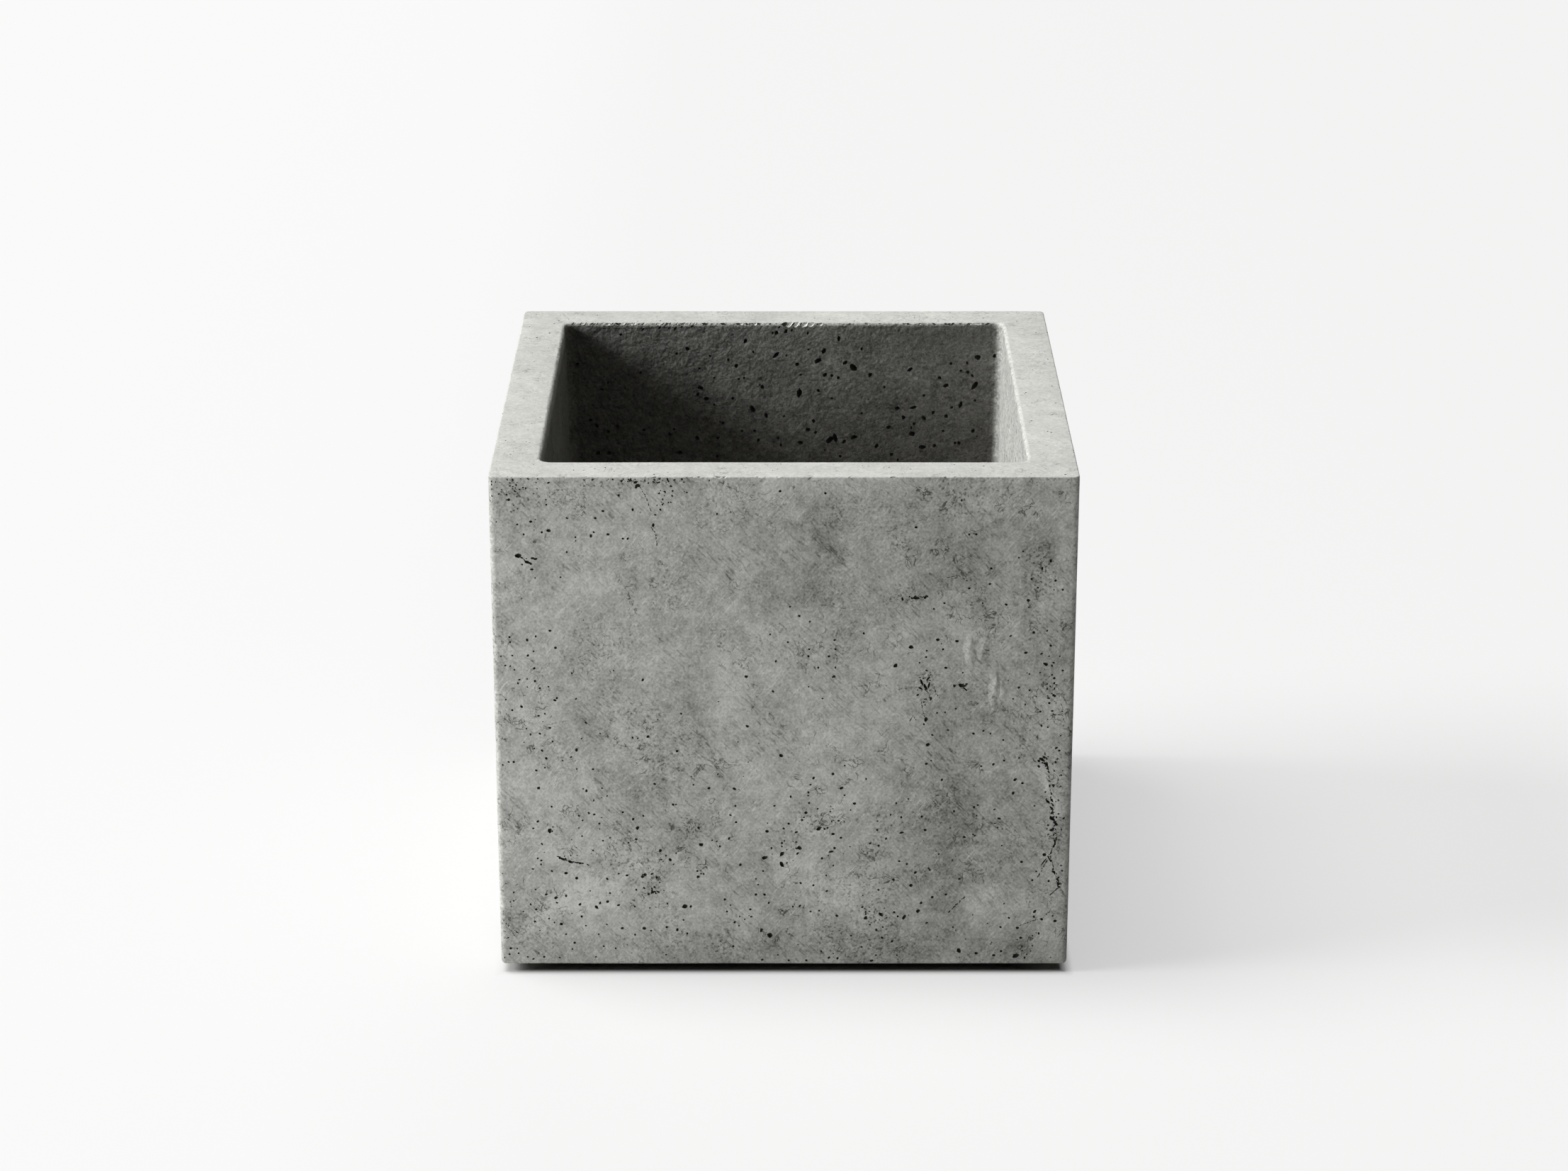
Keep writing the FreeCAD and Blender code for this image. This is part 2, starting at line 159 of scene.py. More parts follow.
# Pores of the front that the photograph shows: pixel across, pixel down, width, length, turn in degrees
FRONT_PORES = (
    (1086.6, 1319.6, 3.8, 4.4, -40), (966.6, 1279.0, 3.6, 4.2, 20), (775.8, 1172.0, 3.0, 3.6, 80),
    (900.0, 1168.0, 2.4, 3.2, 50), (989.7, 1191.7, 2.8, 3.2, 0), (814.0, 1239.0, 2.4, 2.6, 0),
    (799.0, 1232.0, 2.2, 2.6, 0), (910.4, 1234.0, 2.6, 2.9, 10), (1103.4, 1205.0, 2.6, 4.2, 60),
    (1103.4, 1219.7, 2.8, 5.0, -62), (1128.5, 1196.4, 2.6, 3.6, -60), (1156.0, 1169.0, 2.4, 3.8, 35),
    (1079.0, 1210.0, 2.6, 4.2, 20), (1222.0, 1295.0, 2.6, 3.2, 70), (1243.0, 1290.0, 2.4, 4.0, -45),
    (1276.0, 1294.0, 2.4, 4.6, 65), (1295.6, 1285.4, 2.4, 3.2, 40), (1285.7, 1249.0, 2.6, 3.0, 20),
    (1353.0, 1341.0, 3.2, 4.6, -60), (1433.7, 1348.6, 3.4, 4.8, 15), (1377.6, 1345.0, 2.2, 2.6, 0),
    (1402.6, 1347.7, 2.2, 2.8, 0), (1286.0, 913.0, 3.0, 3.6, 0), (1264.0, 939.0, 2.4, 3.6, 40),
    (1323.6, 902.6, 2.2, 2.8, 0), (1350.8, 904.6, 2.2, 3.0, 0), (1307.0, 1015.0, 2.6, 3.2, 80),
    (1309.7, 1050.7, 2.8, 3.4, 30), (731.5, 784.0, 3.2, 5.0, 10), (1102.5, 1066.0, 2.6, 3.2, -30),
    (760.2, 1111.9, 2.4, 2.6, 0), (813.8, 1058.0, 2.2, 3.0, 80), (932.0, 1200.0, 2.4, 2.8, 60),
    (946.0, 1213.0, 2.4, 3.0, -40), (909.4, 1309.8, 2.4, 2.8, 0), (878.3, 1309.6, 2.2, 2.6, 0),
    (956.0, 1311.7, 2.0, 2.8, 70), (792.3, 1303.7, 2.4, 2.8, 0), (784.6, 1266.7, 2.2, 2.8, 30),
    (842.0, 1279.6, 2.0, 3.4, -50), (857.7, 1272.0, 2.2, 2.8, 40), (818.6, 1276.0, 2.0, 2.8, 40),
    (1036.6, 1113.0, 2.0, 2.8, -30), (1000.7, 1112.0, 2.0, 2.8, 30), (1082.5, 1173.0, 2.4, 2.8, 0),
    (985.5, 1237.0, 2.2, 2.6, 0), (1432.7, 1100.0, 2.0, 3.0, 40), (1187.6, 1112.0, 1.8, 3.2, 30),
    (1206.0, 1133.8, 2.2, 2.4, 0), (1137.5, 1146.7, 2.4, 2.8, 0), (1175.8, 1176.7, 2.2, 2.8, 0),
    (1272.8, 1174.8, 1.6, 3.6, 10), (1305.7, 1171.0, 2.2, 2.4, 0), (1474.0, 1206.0, 2.6, 3.0, 0),
    (1441.8, 1216.0, 2.2, 2.4, 0), (1172.9, 1201.6, 1.6, 3.4, 10), (1460.6, 1285.7, 1.8, 3.2, 50),
    (1489.0, 1299.4, 2.2, 2.6, 0), (1436.0, 1309.0, 2.2, 2.8, 0), (1440.5, 1323.0, 2.2, 2.4, 0),
    (1230.0, 1355.4, 2.0, 2.8, 10), (1170.0, 1351.0, 2.0, 2.6, 30), (1101.0, 693.0, 2.0, 2.2, 0),
    (1471.0, 1072.0, 2.2, 5.0, -35), (1476.0, 1078.0, 1.8, 4.2, -42), (1485.0, 1155.0, 2.6, 6.0, -40),
    (1490.0, 1162.0, 2.0, 4.2, -52), (1484.0, 1171.0, 2.0, 3.6, 10), (1479.0, 1131.0, 1.7, 4.6, -45),
    (1484.0, 1140.0, 1.6, 4.0, -40), (1488.5, 1191.0, 1.3, 6.0, 78), (1473.0, 1216.0, 1.1, 7.0, 55),
    (1481.0, 1212.0, 1.1, 6.4, -60), (1487.0, 1230.0, 1.8, 3.4, -40), (1494.0, 1247.0, 1.6, 3.2, 0),
    (1476.0, 937.0, 2.4, 3.8, -20), (1301.0, 963.0, 1.9, 5.0, -70), (1306.0, 969.0, 2.0, 5.2, -60),
    (1311.0, 967.0, 1.5, 4.8, 80), (1299.0, 971.0, 1.5, 3.6, -40), (1356.0, 967.0, 2.8, 3.6, -20),
    (1362.0, 972.0, 1.1, 5.0, -45), (744.0, 793.0, 2.2, 4.4, -25), (794.0, 1212.0, 1.8, 4.0, -25),
    (805.0, 1216.0, 1.8, 4.0, -15), (921.0, 1258.0, 1.8, 3.2, -60), (907.0, 1237.0, 2.2, 2.8, 0),
)

# Pores of the inner back wall, in the same form: larger and drawn out where the core was pulled
BACK_PORES = (
    (1128.0, 554.5, 3.8, 7.7, 80), (1062.0, 576.8, 3.6, 6.5, -55), (1204.0, 518.6, 5.0, 6.7, -35),
    (1154.8, 508.8, 3.4, 6.2, 30), (1162.5, 495.6, 3.1, 4.6, 60), (1095.0, 501.0, 2.6, 6.7, 45),
    (1171.0, 621.0, 4.8, 7.7, 50), (1178.5, 618.0, 3.6, 7.2, -70), (1287.0, 612.0, 4.3, 5.5, 0),
    (1376.0, 543.4, 3.6, 7.7, 55), (1380.4, 504.0, 4.1, 4.8, 0), (1355.6, 570.8, 3.1, 5.8, 70),
    (1302.0, 631.0, 3.6, 5.5, 0), (1205.0, 617.0, 3.1, 5.3, 20), (1129.6, 624.6, 3.1, 4.3, 0),
    (988.5, 547.3, 2.9, 5.0, -20), (996.7, 562.6, 2.9, 4.8, 0), (959.5, 639.0, 3.6, 5.0, 0),
    (1254.0, 602.8, 3.4, 3.6, 0), (1236.8, 629.7, 3.1, 4.3, 50), (1184.0, 478.0, 2.6, 4.8, 80),
    (1193.0, 511.8, 2.6, 4.8, 40), (1284.0, 521.6, 2.6, 5.3, 30), (1334.7, 543.8, 2.9, 4.6, 30),
    (1289.4, 575.0, 2.4, 5.5, 20), (844.0, 639.6, 3.1, 4.1, 0), (860.0, 639.0, 3.1, 3.6, 0),
    (842.0, 600.7, 3.1, 4.1, -40), (871.5, 602.0, 2.6, 3.6, 0), (815.0, 514.0, 2.9, 3.4, 0),
)

# Small pores of the inner back wall: pixel across, pixel down
BACK_SMALL_PORES = (
    (876, 472), (955, 499), (970, 492), (1028, 508), (1002, 502), (1039, 516), (987, 520), (1050, 533),
    (1052, 481), (904, 526), (858, 540), (1008, 571), (1081, 586), (1020, 597), (1047, 608), (1065, 608),
    (1070, 621), (1098, 618), (1102, 628), (1013, 618), (984, 618), (1012, 644), (909, 607), (951, 606),
    (945, 613), (858, 609), (833, 593), (1130, 529), (1164, 529), (1174, 530), (1183, 533), (1155, 551),
    (1174, 562), (1228, 529), (1148, 594), (1140, 606), (1151, 610), (1216, 583), (1248, 546), (1266, 576),
    (1275, 589), (1304, 590), (1317, 582), (1304, 558), (1356, 523), (1366, 525), (1365, 512), (1342, 513),
    (1326, 533), (1376, 565), (1343, 575), (1331, 608), (1335, 587), (1373, 608), (1348, 625), (1353, 625),
    (1286, 603), (1258, 641), (1267, 649), (1319, 629), (1191, 623), (1186, 644), (1404, 502), (1141, 493),
    (1216, 492), (1096, 470), (1109, 468), (1125, 514), (1076, 546), (1034, 562), (1372, 530), (1290, 598),
)

# Small pores of the front that the photograph shows: pixel across, pixel down
FRONT_SMALL_PORES = (
    (823, 1113), (857, 1123), (924, 1106), (950, 1135), (908, 1151), (879, 1146), (831, 1147), (817, 1151),
    (846, 1162), (817, 1168), (759, 1159), (851, 1186), (861, 1182), (887, 1189), (898, 1184), (837, 1200),
    (759, 1211), (764, 1214), (790, 1210), (798, 1212), (819, 1218), (752, 1226), (779, 1229), (857, 1240),
    (885, 1235), (920, 1233), (927, 1238), (931, 1245), (924, 1258), (833, 1257), (861, 1260), (725, 1259),
    (725, 1271), (756, 1255), (771, 1262), (799, 1264), (847, 1274), (873, 1277), (896, 1279), (917, 1281),
    (942, 1275), (757, 1283), (775, 1296), (755, 1300), (827, 1306), (821, 1293), (941, 1308), (919, 1313),
    (811, 1330), (808, 1339), (799, 1318), (845, 1318), (852, 1335), (841, 1350), (869, 1338), (940, 1347),
    (721, 1338), (732, 1345), (745, 1350), (753, 1353), (768, 1350), (790, 1351),
    (1154, 1141), (1132, 1157), (1172, 1145), (1113, 1162), (1106, 1169), (1168, 1168), (1187, 1182),
    (1124, 1188), (1169, 1207), (1160, 1211), (1176, 1221), (1077, 1229), (1067, 1240), (1070, 1248),
    (1130, 1246), (1148, 1249), (1167, 1257), (1067, 1262), (1079, 1262), (1085, 1274), (1105, 1285),
    (1119, 1279), (1129, 1278), (1144, 1286), (1156, 1285), (1181, 1292), (975, 1279), (1023, 1269),
    (1031, 1277), (1026, 1286), (1059, 1283), (1044, 1293), (1037, 1301), (1043, 1306), (970, 1317),
    (1035, 1335), (1076, 1354), (1098, 1347), (1113, 1355), (1138, 1355), (1159, 1342), (1182, 1352),
    (1201, 1320), (1216, 1336), (1237, 1312), (1245, 1323), (1038, 1137), (1031, 1150), (1093, 1137),
    (1039, 1160), (1029, 1183), (954, 1135), (1016, 1194), (1045, 1220), (1144, 1107), (1116, 1124),
    (1141, 1118), (1142, 1133), (985, 1237), (993, 1233), (1238, 1171), (1228, 1190), (1240, 1193),
    (1265, 1133), (1282, 1127), (1301, 1152), (1272, 1153), (1361, 1181), (1376, 1179), (1325, 1205),
    (1414, 1193), (1269, 1215), (1280, 1219), (1292, 1231), (1354, 1240), (1261, 1241), (1335, 1262),
    (1316, 1266), (1417, 1275), (1457, 1242), (1480, 1243), (1494, 1238), (1300, 1274), (1262, 1287),
    (1267, 1293), (1459, 1293), (1470, 1297), (1424, 1295), (1345, 1308), (1412, 1308), (1466, 1317),
    (1308, 1302), (1259, 1328), (1246, 1308), (1413, 1342), (1446, 1351), (1430, 1119), (1460, 1137),
    (1443, 1105), (1380, 1136), (1293, 744), (1399, 802), (1368, 830), (1397, 824), (1333, 851),
    (1318, 859), (1387, 851), (1420, 853), (1452, 847), (1452, 857), (1456, 817), (1465, 829),
    (1444, 778), (1438, 787), (1471, 802), (1368, 754), (1378, 754), (1500, 832), (1308, 918),
    (1307, 927), (1331, 916), (1335, 942), (1298, 935), (1448, 921), (1483, 911), (1478, 890),
    (1496, 926), (1475, 937), (1487, 935), (1500, 946), (1453, 951), (1468, 949), (1488, 957),
    (1488, 964), (1478, 965), (1438, 970), (1453, 974), (1487, 981), (1430, 986), (1481, 992),
    (1485, 1003), (1447, 994), (1356, 968), (1359, 949), (1349, 1000), (1334, 1005), (1316, 1037),
    (1388, 1031), (1398, 1035), (1416, 1044), (1374, 1035), (1470, 1024), (1479, 1026), (1497, 1038),
    (1495, 1059), (1474, 1077), (1314, 1073), (1385, 1081), (1417, 1073), (1338, 1030),
    (1165, 696), (1012, 725), (1115, 856), (1128, 869), (1143, 877), (1087, 895), (1112, 906),
    (1178, 903), (1142, 916), (1141, 926), (1095, 933), (1155, 942), (1179, 942), (1170, 926),
    (1179, 916), (873, 699), (893, 719), (932, 719), (935, 712), (947, 686), (886, 760), (879, 760),
    (771, 712), (800, 731), (840, 731), (851, 721), (800, 779), (812, 758), (834, 756), (838, 751),
    (858, 754), (922, 741), (730, 740), (749, 736), (739, 754), (715, 698), (718, 705), (738, 688),
    (719, 899), (720, 906), (756, 898), (744, 903), (784, 914), (776, 890), (723, 925), (707, 926),
    (753, 919), (745, 925), (720, 940), (713, 939), (726, 945), (754, 943), (731, 964), (733, 959),
    (755, 961), (744, 958), (762, 971), (774, 969), (783, 988), (786, 985), (813, 986), (736, 997),
    (714, 987), (769, 1007), (760, 1010), (743, 1028), (776, 1027), (827, 1020), (762, 1035), (780, 1046),
    (754, 1056), (765, 1059), (806, 1068), (725, 1075), (718, 1075), (771, 1070), (757, 1087), (769, 1083),
    (814, 1085), (794, 1073), (723, 1002), (807, 950),
)

# Clusters of small pits on the front: middle in pixels, spread across and up in millimetres, number, width
FRONT_CLUSTERS = (
    (902, 678, 20.0, 0.9, 40, 1.0), (900, 682, 1.5, 1.2, 4, 2.0), (722, 684, 9.0, 3.0, 22, 0.9),
    (735, 700, 11.0, 7.0, 22, 0.8), (938, 696, 8.0, 6.0, 20, 0.9), (745, 793, 4.0, 2.5, 7, 1.2),
    (922, 1256, 4.5, 3.0, 10, 1.2), (1158, 1164, 9.0, 7.0, 14, 1.1), (1112, 1192, 6.0, 7.0, 12, 1.1),
    (1308, 969, 4.0, 6.5, 22, 1.0), (1358, 969, 3.5, 3.0, 8, 1.4), (1480, 965, 5.0, 14.0, 22, 1.0),
    (1476, 1076, 3.5, 3.5, 12, 1.3), (1487, 1136, 3.0, 16.0, 30, 1.1), (1490, 1240, 2.5, 8.0, 10, 1.0),
    (716, 1290, 3.0, 16.0, 14, 0.8), (1297, 843, 5.0, 0.8, 8, 1.4), (1240, 1289, 12.0, 3.0, 8, 1.0),
    (1430, 1335, 14.0, 6.0, 10, 1.0), (945, 1213, 6.0, 4.0, 6, 1.0),
)

# Chains of pits on the front: width, then the pixels that the chain runs through
FRONT_CHAINS = (
    (0.9, (1487, 1155), (1491, 1186), (1479, 1212), (1464, 1238)),
    (0.8, (1482, 1206), (1489, 1234), (1494, 1252), (1482, 1262)),
    (0.6, (711, 1300), (722, 1308), (732, 1318)),
    (0.5, (713, 1306), (722, 1314), (729, 1323)),
    (1.0, (1476, 1062), (1481, 1100), (1486, 1150)),
    (1.0, (736, 787), (744, 793), (751, 797)),
    (0.6, (903, 686), (911, 700), (919, 722)),
    (0.6, (919, 744), (925, 752), (927, 770)),
    (1.3, (1284, 843), (1296, 844), (1309, 842)),
    (0.6, (1306, 972), (1311, 980), (1313, 988)),
    (0.6, (1318, 968), (1321, 978), (1326, 984)),
    (0.6, (1482, 1010), (1492, 1008), (1502, 1010)),
    (0.6, (715, 1007), (721, 1012)),
    (1.0, (787, 1208), (800, 1214), (815, 1217), (831, 1220)),
    (0.5, (1300, 985), (1302, 1002), (1307, 1018)),
    (0.6, (1284, 1018), (1288, 1010), (1293, 1016)),
    (0.5, (1337, 815), (1352, 812), (1366, 820)),
    (0.6, (1440, 1306), (1455, 1300), (1470, 1296), (1482, 1285)),
    (0.5, (1482, 1262), (1496, 1252), (1500, 1244)),
    (0.5, (1316, 1128), (1321, 1135), (1325, 1138)),
    (0.8, (1340, 1286), (1352, 1274), (1362, 1264)),
)

# Chips in the inner edge of the back rim: pixel across, width, length, turn in degrees, material
EDGE_CHIPS = (
    (1066.0, 2.4, 4.0, 60, BREAK), (1082.0, 2.0, 3.2, 60, BREAK), (1114.5, 3.4, 9.0, 55, BREAK),
    (1124.5, 3.8, 6.6, 55, BREAK), (1136.0, 4.0, 7.2, 55, BREAK), (1146.0, 3.8, 6.0, 50, BREAK),
    (1159.0, 2.6, 4.4, 50, BREAK), (1107.5, 4.4, 5.6, 40, PORE), (1119.8, 1.3, 6.0, 60, PORE),
    (1130.5, 1.2, 4.6, 60, PORE), (1141.0, 1.0, 4.0, 60, PORE), (1154.0, 1.6, 3.4, 20, PORE),
)
# Row of the photograph where the camera sees that edge
BACK_EDGE_ROW = 456.0

# Slanting strokes on the left of that edge: pixels across, number, millimetres, sizes, turn in degrees
LIP_STROKE_SPAN = (806.0, 1000.0)
LIP_STROKE_COUNT = 42
LIP_STROKE_WIDTH = 0.9
LIP_STROKE_LENGTH = 4.2
LIP_STROKE_SIZES = (0.7, 1.2)
LIP_STROKE_TURN = 55
LIP_STROKE_SWING = 8

# Line of painted shadow below them, in the form of the front's chains
LIP_SHADOW_LINE = ((0.5, (848, 463.5), (905, 463.5), (950, 462), (996, 461)),)

# Broken chips, and chips dark with painted shade, of the inner back wall just below that edge, in the form
# of the pores
PALE_CHIPS = ((1096, 463.5, 1.6, 2.4, 50), (1103, 462, 2.0, 2.6, 50), (1107, 466, 1.8, 2.4, 50))
PAINTED_SHADE_CHIPS = (
    (1100, 461.5, 1.6, 2.4, 50), (1110, 466.5, 1.8, 2.4, 60), (1117.5, 466, 1.6, 3.0, 75),
    (1090.5, 470, 1.8, 2.6, 80), (1140, 470, 1.8, 3.0, 75), (907, 465.5, 1.5, 3.2, 50),
    (953, 464, 1.5, 3.4, 58), (977, 460.5, 1.8, 3.0, 30), (931, 462.5, 1.2, 3.0, 55),
    (944, 463, 1.2, 3.0, 55), (962, 461.5, 1.4, 2.4, 40),
)

# Soft clouds on the front: pixels across and down, reach across and up in millimetres, turn, change of tone
# Some of the dark clouds are partly painted shade: broad ones towards the right, where the light falls off,
# and one beside the raised runs
FRONT_CLOUDS = (
    (828, 1262, 34, 26, 0, 0.18), (775, 1127, 26, 34, 0, 0.12), (1120, 1229, 30, 20, 20, 0.20),
    (1170, 1270, 34, 24, 0, 0.10), (1374, 1271, 24, 20, 30, 0.19), (1331, 1296, 14, 12, 0, 0.12),
    (975, 1240, 26, 14, 20, 0.12), (1100, 905, 34, 40, 0, 0.15), (1035, 828, 12, 34, 0, 0.12),
    (1480, 1105, 7, 18, 0, 0.20), (1126, 723, 6, 11, 25, 0.20), (1141, 714, 7, 6, 0, 0.20),
    (1145, 760, 5, 9, -25, 0.18), (1131, 781, 8, 8, -40, 0.18), (1160, 787, 9, 6, -40, 0.15),
    (1085, 700, 18, 14, 0, 0.10), (880, 1335, 30, 14, 0, 0.07),
    (1400, 1315, 30, 14, 15, 0.10), (1015, 1130, 28, 18, 0, 0.07), (760, 985, 40, 40, 0, 0.07),
    (1165, 838, 26, 17, -10, -0.25), (1168, 750, 26, 38, 0, -0.15), (890, 1115, 40, 18, 0, -0.15),
    (917, 1247, 18, 11, 0, -0.18), (950, 1350, 20, 9, 0, -0.18), (760, 1345, 30, 8, 0, -0.12),
    (720, 1230, 8, 40, 0, -0.10), (975, 1172, 26, 20, 15, -0.20), (1232, 1148, 20, 22, 0, -0.12),
    (1130, 1338, 110, 20, 0, -0.15), (1205, 1217, 12, 10, 0, -0.15), (1220, 1270, 12, 8, 0, -0.12),
    (1032, 1279, 11, 9, 0, -0.12), (1342, 1120, 24, 95, 0, -0.24), (1296, 1154, 16, 12, 0, -0.15),
    (1310, 1230, 14, 11, 0, -0.15), (1410, 1207, 14, 10, 0, -0.15), (1332, 1285, 22, 14, 15, -0.20),
    (1312, 1349, 18, 10, 0, -0.18), (1436, 1341, 24, 14, 20, -0.15), (1310, 1215, 50, 70, 0, -0.08),
    (1368, 790, 22, 30, 15, -0.05), (1470, 770, 16, 20, 0, -0.20), (1408, 728, 18, 10, 0, -0.15),
    (1384, 1006, 18, 8, 20, -0.15), (735, 705, 26, 20, -40, -0.18), (905, 686, 44, 8, 0, -0.20),
    (1502, 1150, 8, 60, 0, -0.18), (838, 1010, 26, 40, -20, -0.15), (1420, 990, 80, 230, 0, -0.14),
    (1105, 775, 46, 60, 0, -0.25), (735, 735, 40, 40, 0, -0.12), (762, 950, 40, 60, 0, 0.20),
    (880, 1155, 50, 26, 0, -0.12), (880, 1275, 40, 30, 0, 0.12), (1015, 1290, 40, 30, 0, 0.18),
    (1310, 1230, 70, 80, 0, -0.10), (1445, 990, 40, 60, 0, -0.07),
    (1400, 770, 75, 65, 0, -0.16), (1330, 1342, 95, 26, 0, -0.14), (1180, 760, 26, 60, 0, -0.07),
    (1385, 1275, 30, 22, 0, 0.10), (790, 1270, 40, 40, 0, 0.08), (1340, 985, 22, 40, 0, -0.10),
    (1100, 698, 60, 24, 0, 0.20), (1410, 735, 45, 40, 0, 0.20), (1400, 815, 30, 30, 0, 0.16),
    (1482, 1010, 16, 60, 0, 0.22), (1440, 980, 24, 70, 0, 0.08), (1030, 985, 18, 60, 0, 0.18),
    (1140, 1035, 36, 24, 0, 0.14), (860, 1195, 100, 22, 0, 0.11), (1005, 1212, 34, 16, 0, 0.10),
    (815, 945, 30, 34, 0, -0.17), (1325, 895, 28, 16, 0, -0.13), (1302, 1080, 20, 24, 0, -0.14),
    (870, 1098, 26, 14, 0, -0.12), (1392, 1240, 24, 20, 0, -0.11), (1228, 1268, 22, 16, 0, -0.11),
    (1180, 1318, 120, 26, 0, -0.13), (860, 1330, 40, 16, 0, -0.11), (1420, 1330, 50, 18, 0, -0.08),
    (720, 1180, 14, 24, 0, 0.12), (1484, 1140, 16, 50, 0, 0.16), (714, 800, 18, 40, 0, 0.13),
    (1030, 970, 20, 80, 0, 0.11), (1030, 1232, 24, 22, 0, 0.10), (1282, 693, 26, 14, 0, 0.13),
    (1128, 732, 24, 20, 0, 0.11), (1436, 905, 18, 26, 0, 0.09), (745, 1225, 30, 30, 0, 0.08),
)

# Patches of dark specks on the front, in the form of the clouds, with their strength
FRONT_SPECKLED = (
    (735, 705, 26, 22, 0, 0.8), (902, 684, 44, 9, 0, 1.0), (975, 1172, 24, 18, 0, 0.8),
    (917, 1245, 18, 12, 0, 1.0), (890, 1120, 30, 14, 0, 0.6), (1165, 838, 26, 16, 0, 0.7),
    (1296, 1154, 16, 12, 0, 0.7), (1490, 1140, 10, 60, 0, 0.9), (1310, 965, 16, 22, 0, 0.9),
    (1368, 800, 20, 24, 0, 0.3), (1240, 1287, 24, 9, 0, 0.7), (960, 1330, 60, 12, 0, 0.6),
    (1158, 1165, 20, 16, 0, 0.7), (815, 1217, 12, 4, -15, 1.0), (1465, 800, 20, 24, 0, 0.5),
)

# Smooth stretch of the front, with few cracks and specks, in the form of the clouds
FRONT_SMOOTH = ((1105, 790, 80, 75, 0, -0.80),)

# Raised runs of cement on the front, in the form of the clouds, with their height in millimetres
FRONT_RIDGES = (
    (1369, 919, 3.9, 13, 4, 0.90), (1388, 915, 3.9, 12, -14, 0.65), (1403, 969, 4.0, 21, 0, 1.05),
    (1414, 977, 3.6, 9, 0, 0.55), (1477, 1100, 5.0, 24, 0, 0.60), (1126, 723, 5.0, 11, 25, 0.30),
    (1145, 760, 4.0, 9, -25, 0.30), (905, 700, 5.0, 9, 35, 0.35), (748, 800, 6.0, 4, -20, 0.40),
)

# Painted highlights on the faces of those runs that face the light, and painted shade in the hollows beside
# them, in the form of the clouds
FRONT_RUN_LIGHT_AND_SHADE = (
    (1367, 921, 3.6, 13, 4, 0.28), (1387, 915, 3.4, 10, -14, 0.20), (1401, 970, 3.6, 19, 0, 0.36),
    (1413, 977, 3.2, 8, 0, 0.18), (1396, 936, 3.4, 9, 20, -0.20), (1376, 905, 8.0, 6, 0, -0.12),
    (1412, 1000, 9.0, 4, 30, -0.20), (1380, 1012, 12.0, 5, 10, -0.14),
)

# Pale scratches on the front, in the form of the clouds
FRONT_SCRATCHES = (
    (1373, 1213, 17, 0.7, -44, 0.30), (756, 1330, 9, 0.5, -40, 0.12), (1345, 1020, 8, 0.5, 70, 0.12),
)


def linear(code):
    """Linear RGBA of an sRGB hex colour."""
    channels = [int(code[start:start + 2], 16) / 255 for start in (1, 3, 5)]
    return [c / 12.92 if c <= 0.04045 else ((c + 0.055) / 1.055) ** 2.4 for c in channels] + [1.0]


def colour_property(name, code, description):
    return FloatVectorProperty(name=name, description=description, subtype="COLOR", size=4,
                               min=0.0, max=1.0, default=linear(code))


def number_property(name, value, description, **more):
    return FloatProperty(name=name, description=description, default=value, **more)


def length_property(name, size, description):
    return number_property(name, size * MM, description, unit="LENGTH", precision=5, min=0.0)


def angle_property(name, degrees, description):
    return number_property(name, math.radians(degrees), description, subtype="ANGLE")


class PlanterSizes(bpy.types.PropertyGroup):
    """Sizes of the tub's visible skin."""
    rim_wall: length_property("Rim wall", 33.5, "Width of the flat rim")
    core_draft: angle_property("Core draft", 1.0, "Lean of the inner walls, which lets the core pull out")
    upright_edge: length_property("Upright edge", 4.0, "Radius of the four outer corners")
    base_edge: length_property("Base edge", 3.0, "Radius round the underside")
    rim_edge: length_property("Rim edge", 1.2, "Radius of the rim's outer edge")
    lip_edge: length_property("Lip edge", 3.0, "Radius of the rim's inner edge")
    cavity_corner: length_property("Cavity corner", 8.0, "Radius of the four inner corners")
    cavity_floor_edge: length_property("Cavity floor edge", 3.0, "Radius round the cavity's floor")
    sleeve_radius: length_property("Sleeve radius", 22.0, "Outside of the drain sleeve's tube")
    flange_thickness: length_property("Flange thickness", 3.0, "Thickness of the sleeve's flange")
    joint_line: length_property("Joint line", 0.2, "Gap that shows round a cast-in or set-in piece")
    grid: length_property("Grid", 10.0, "Spacing of the mesh on flat stretches")
    waviness: length_property("Waviness", 0.25, "Most that the cast skin lies below its true face")
    wave_length: length_property("Wave length", 85.0, "Distance from one hollow in the skin to the next")
    seed: IntProperty(name="Seed", description="Start of the pores' random order", default=7)


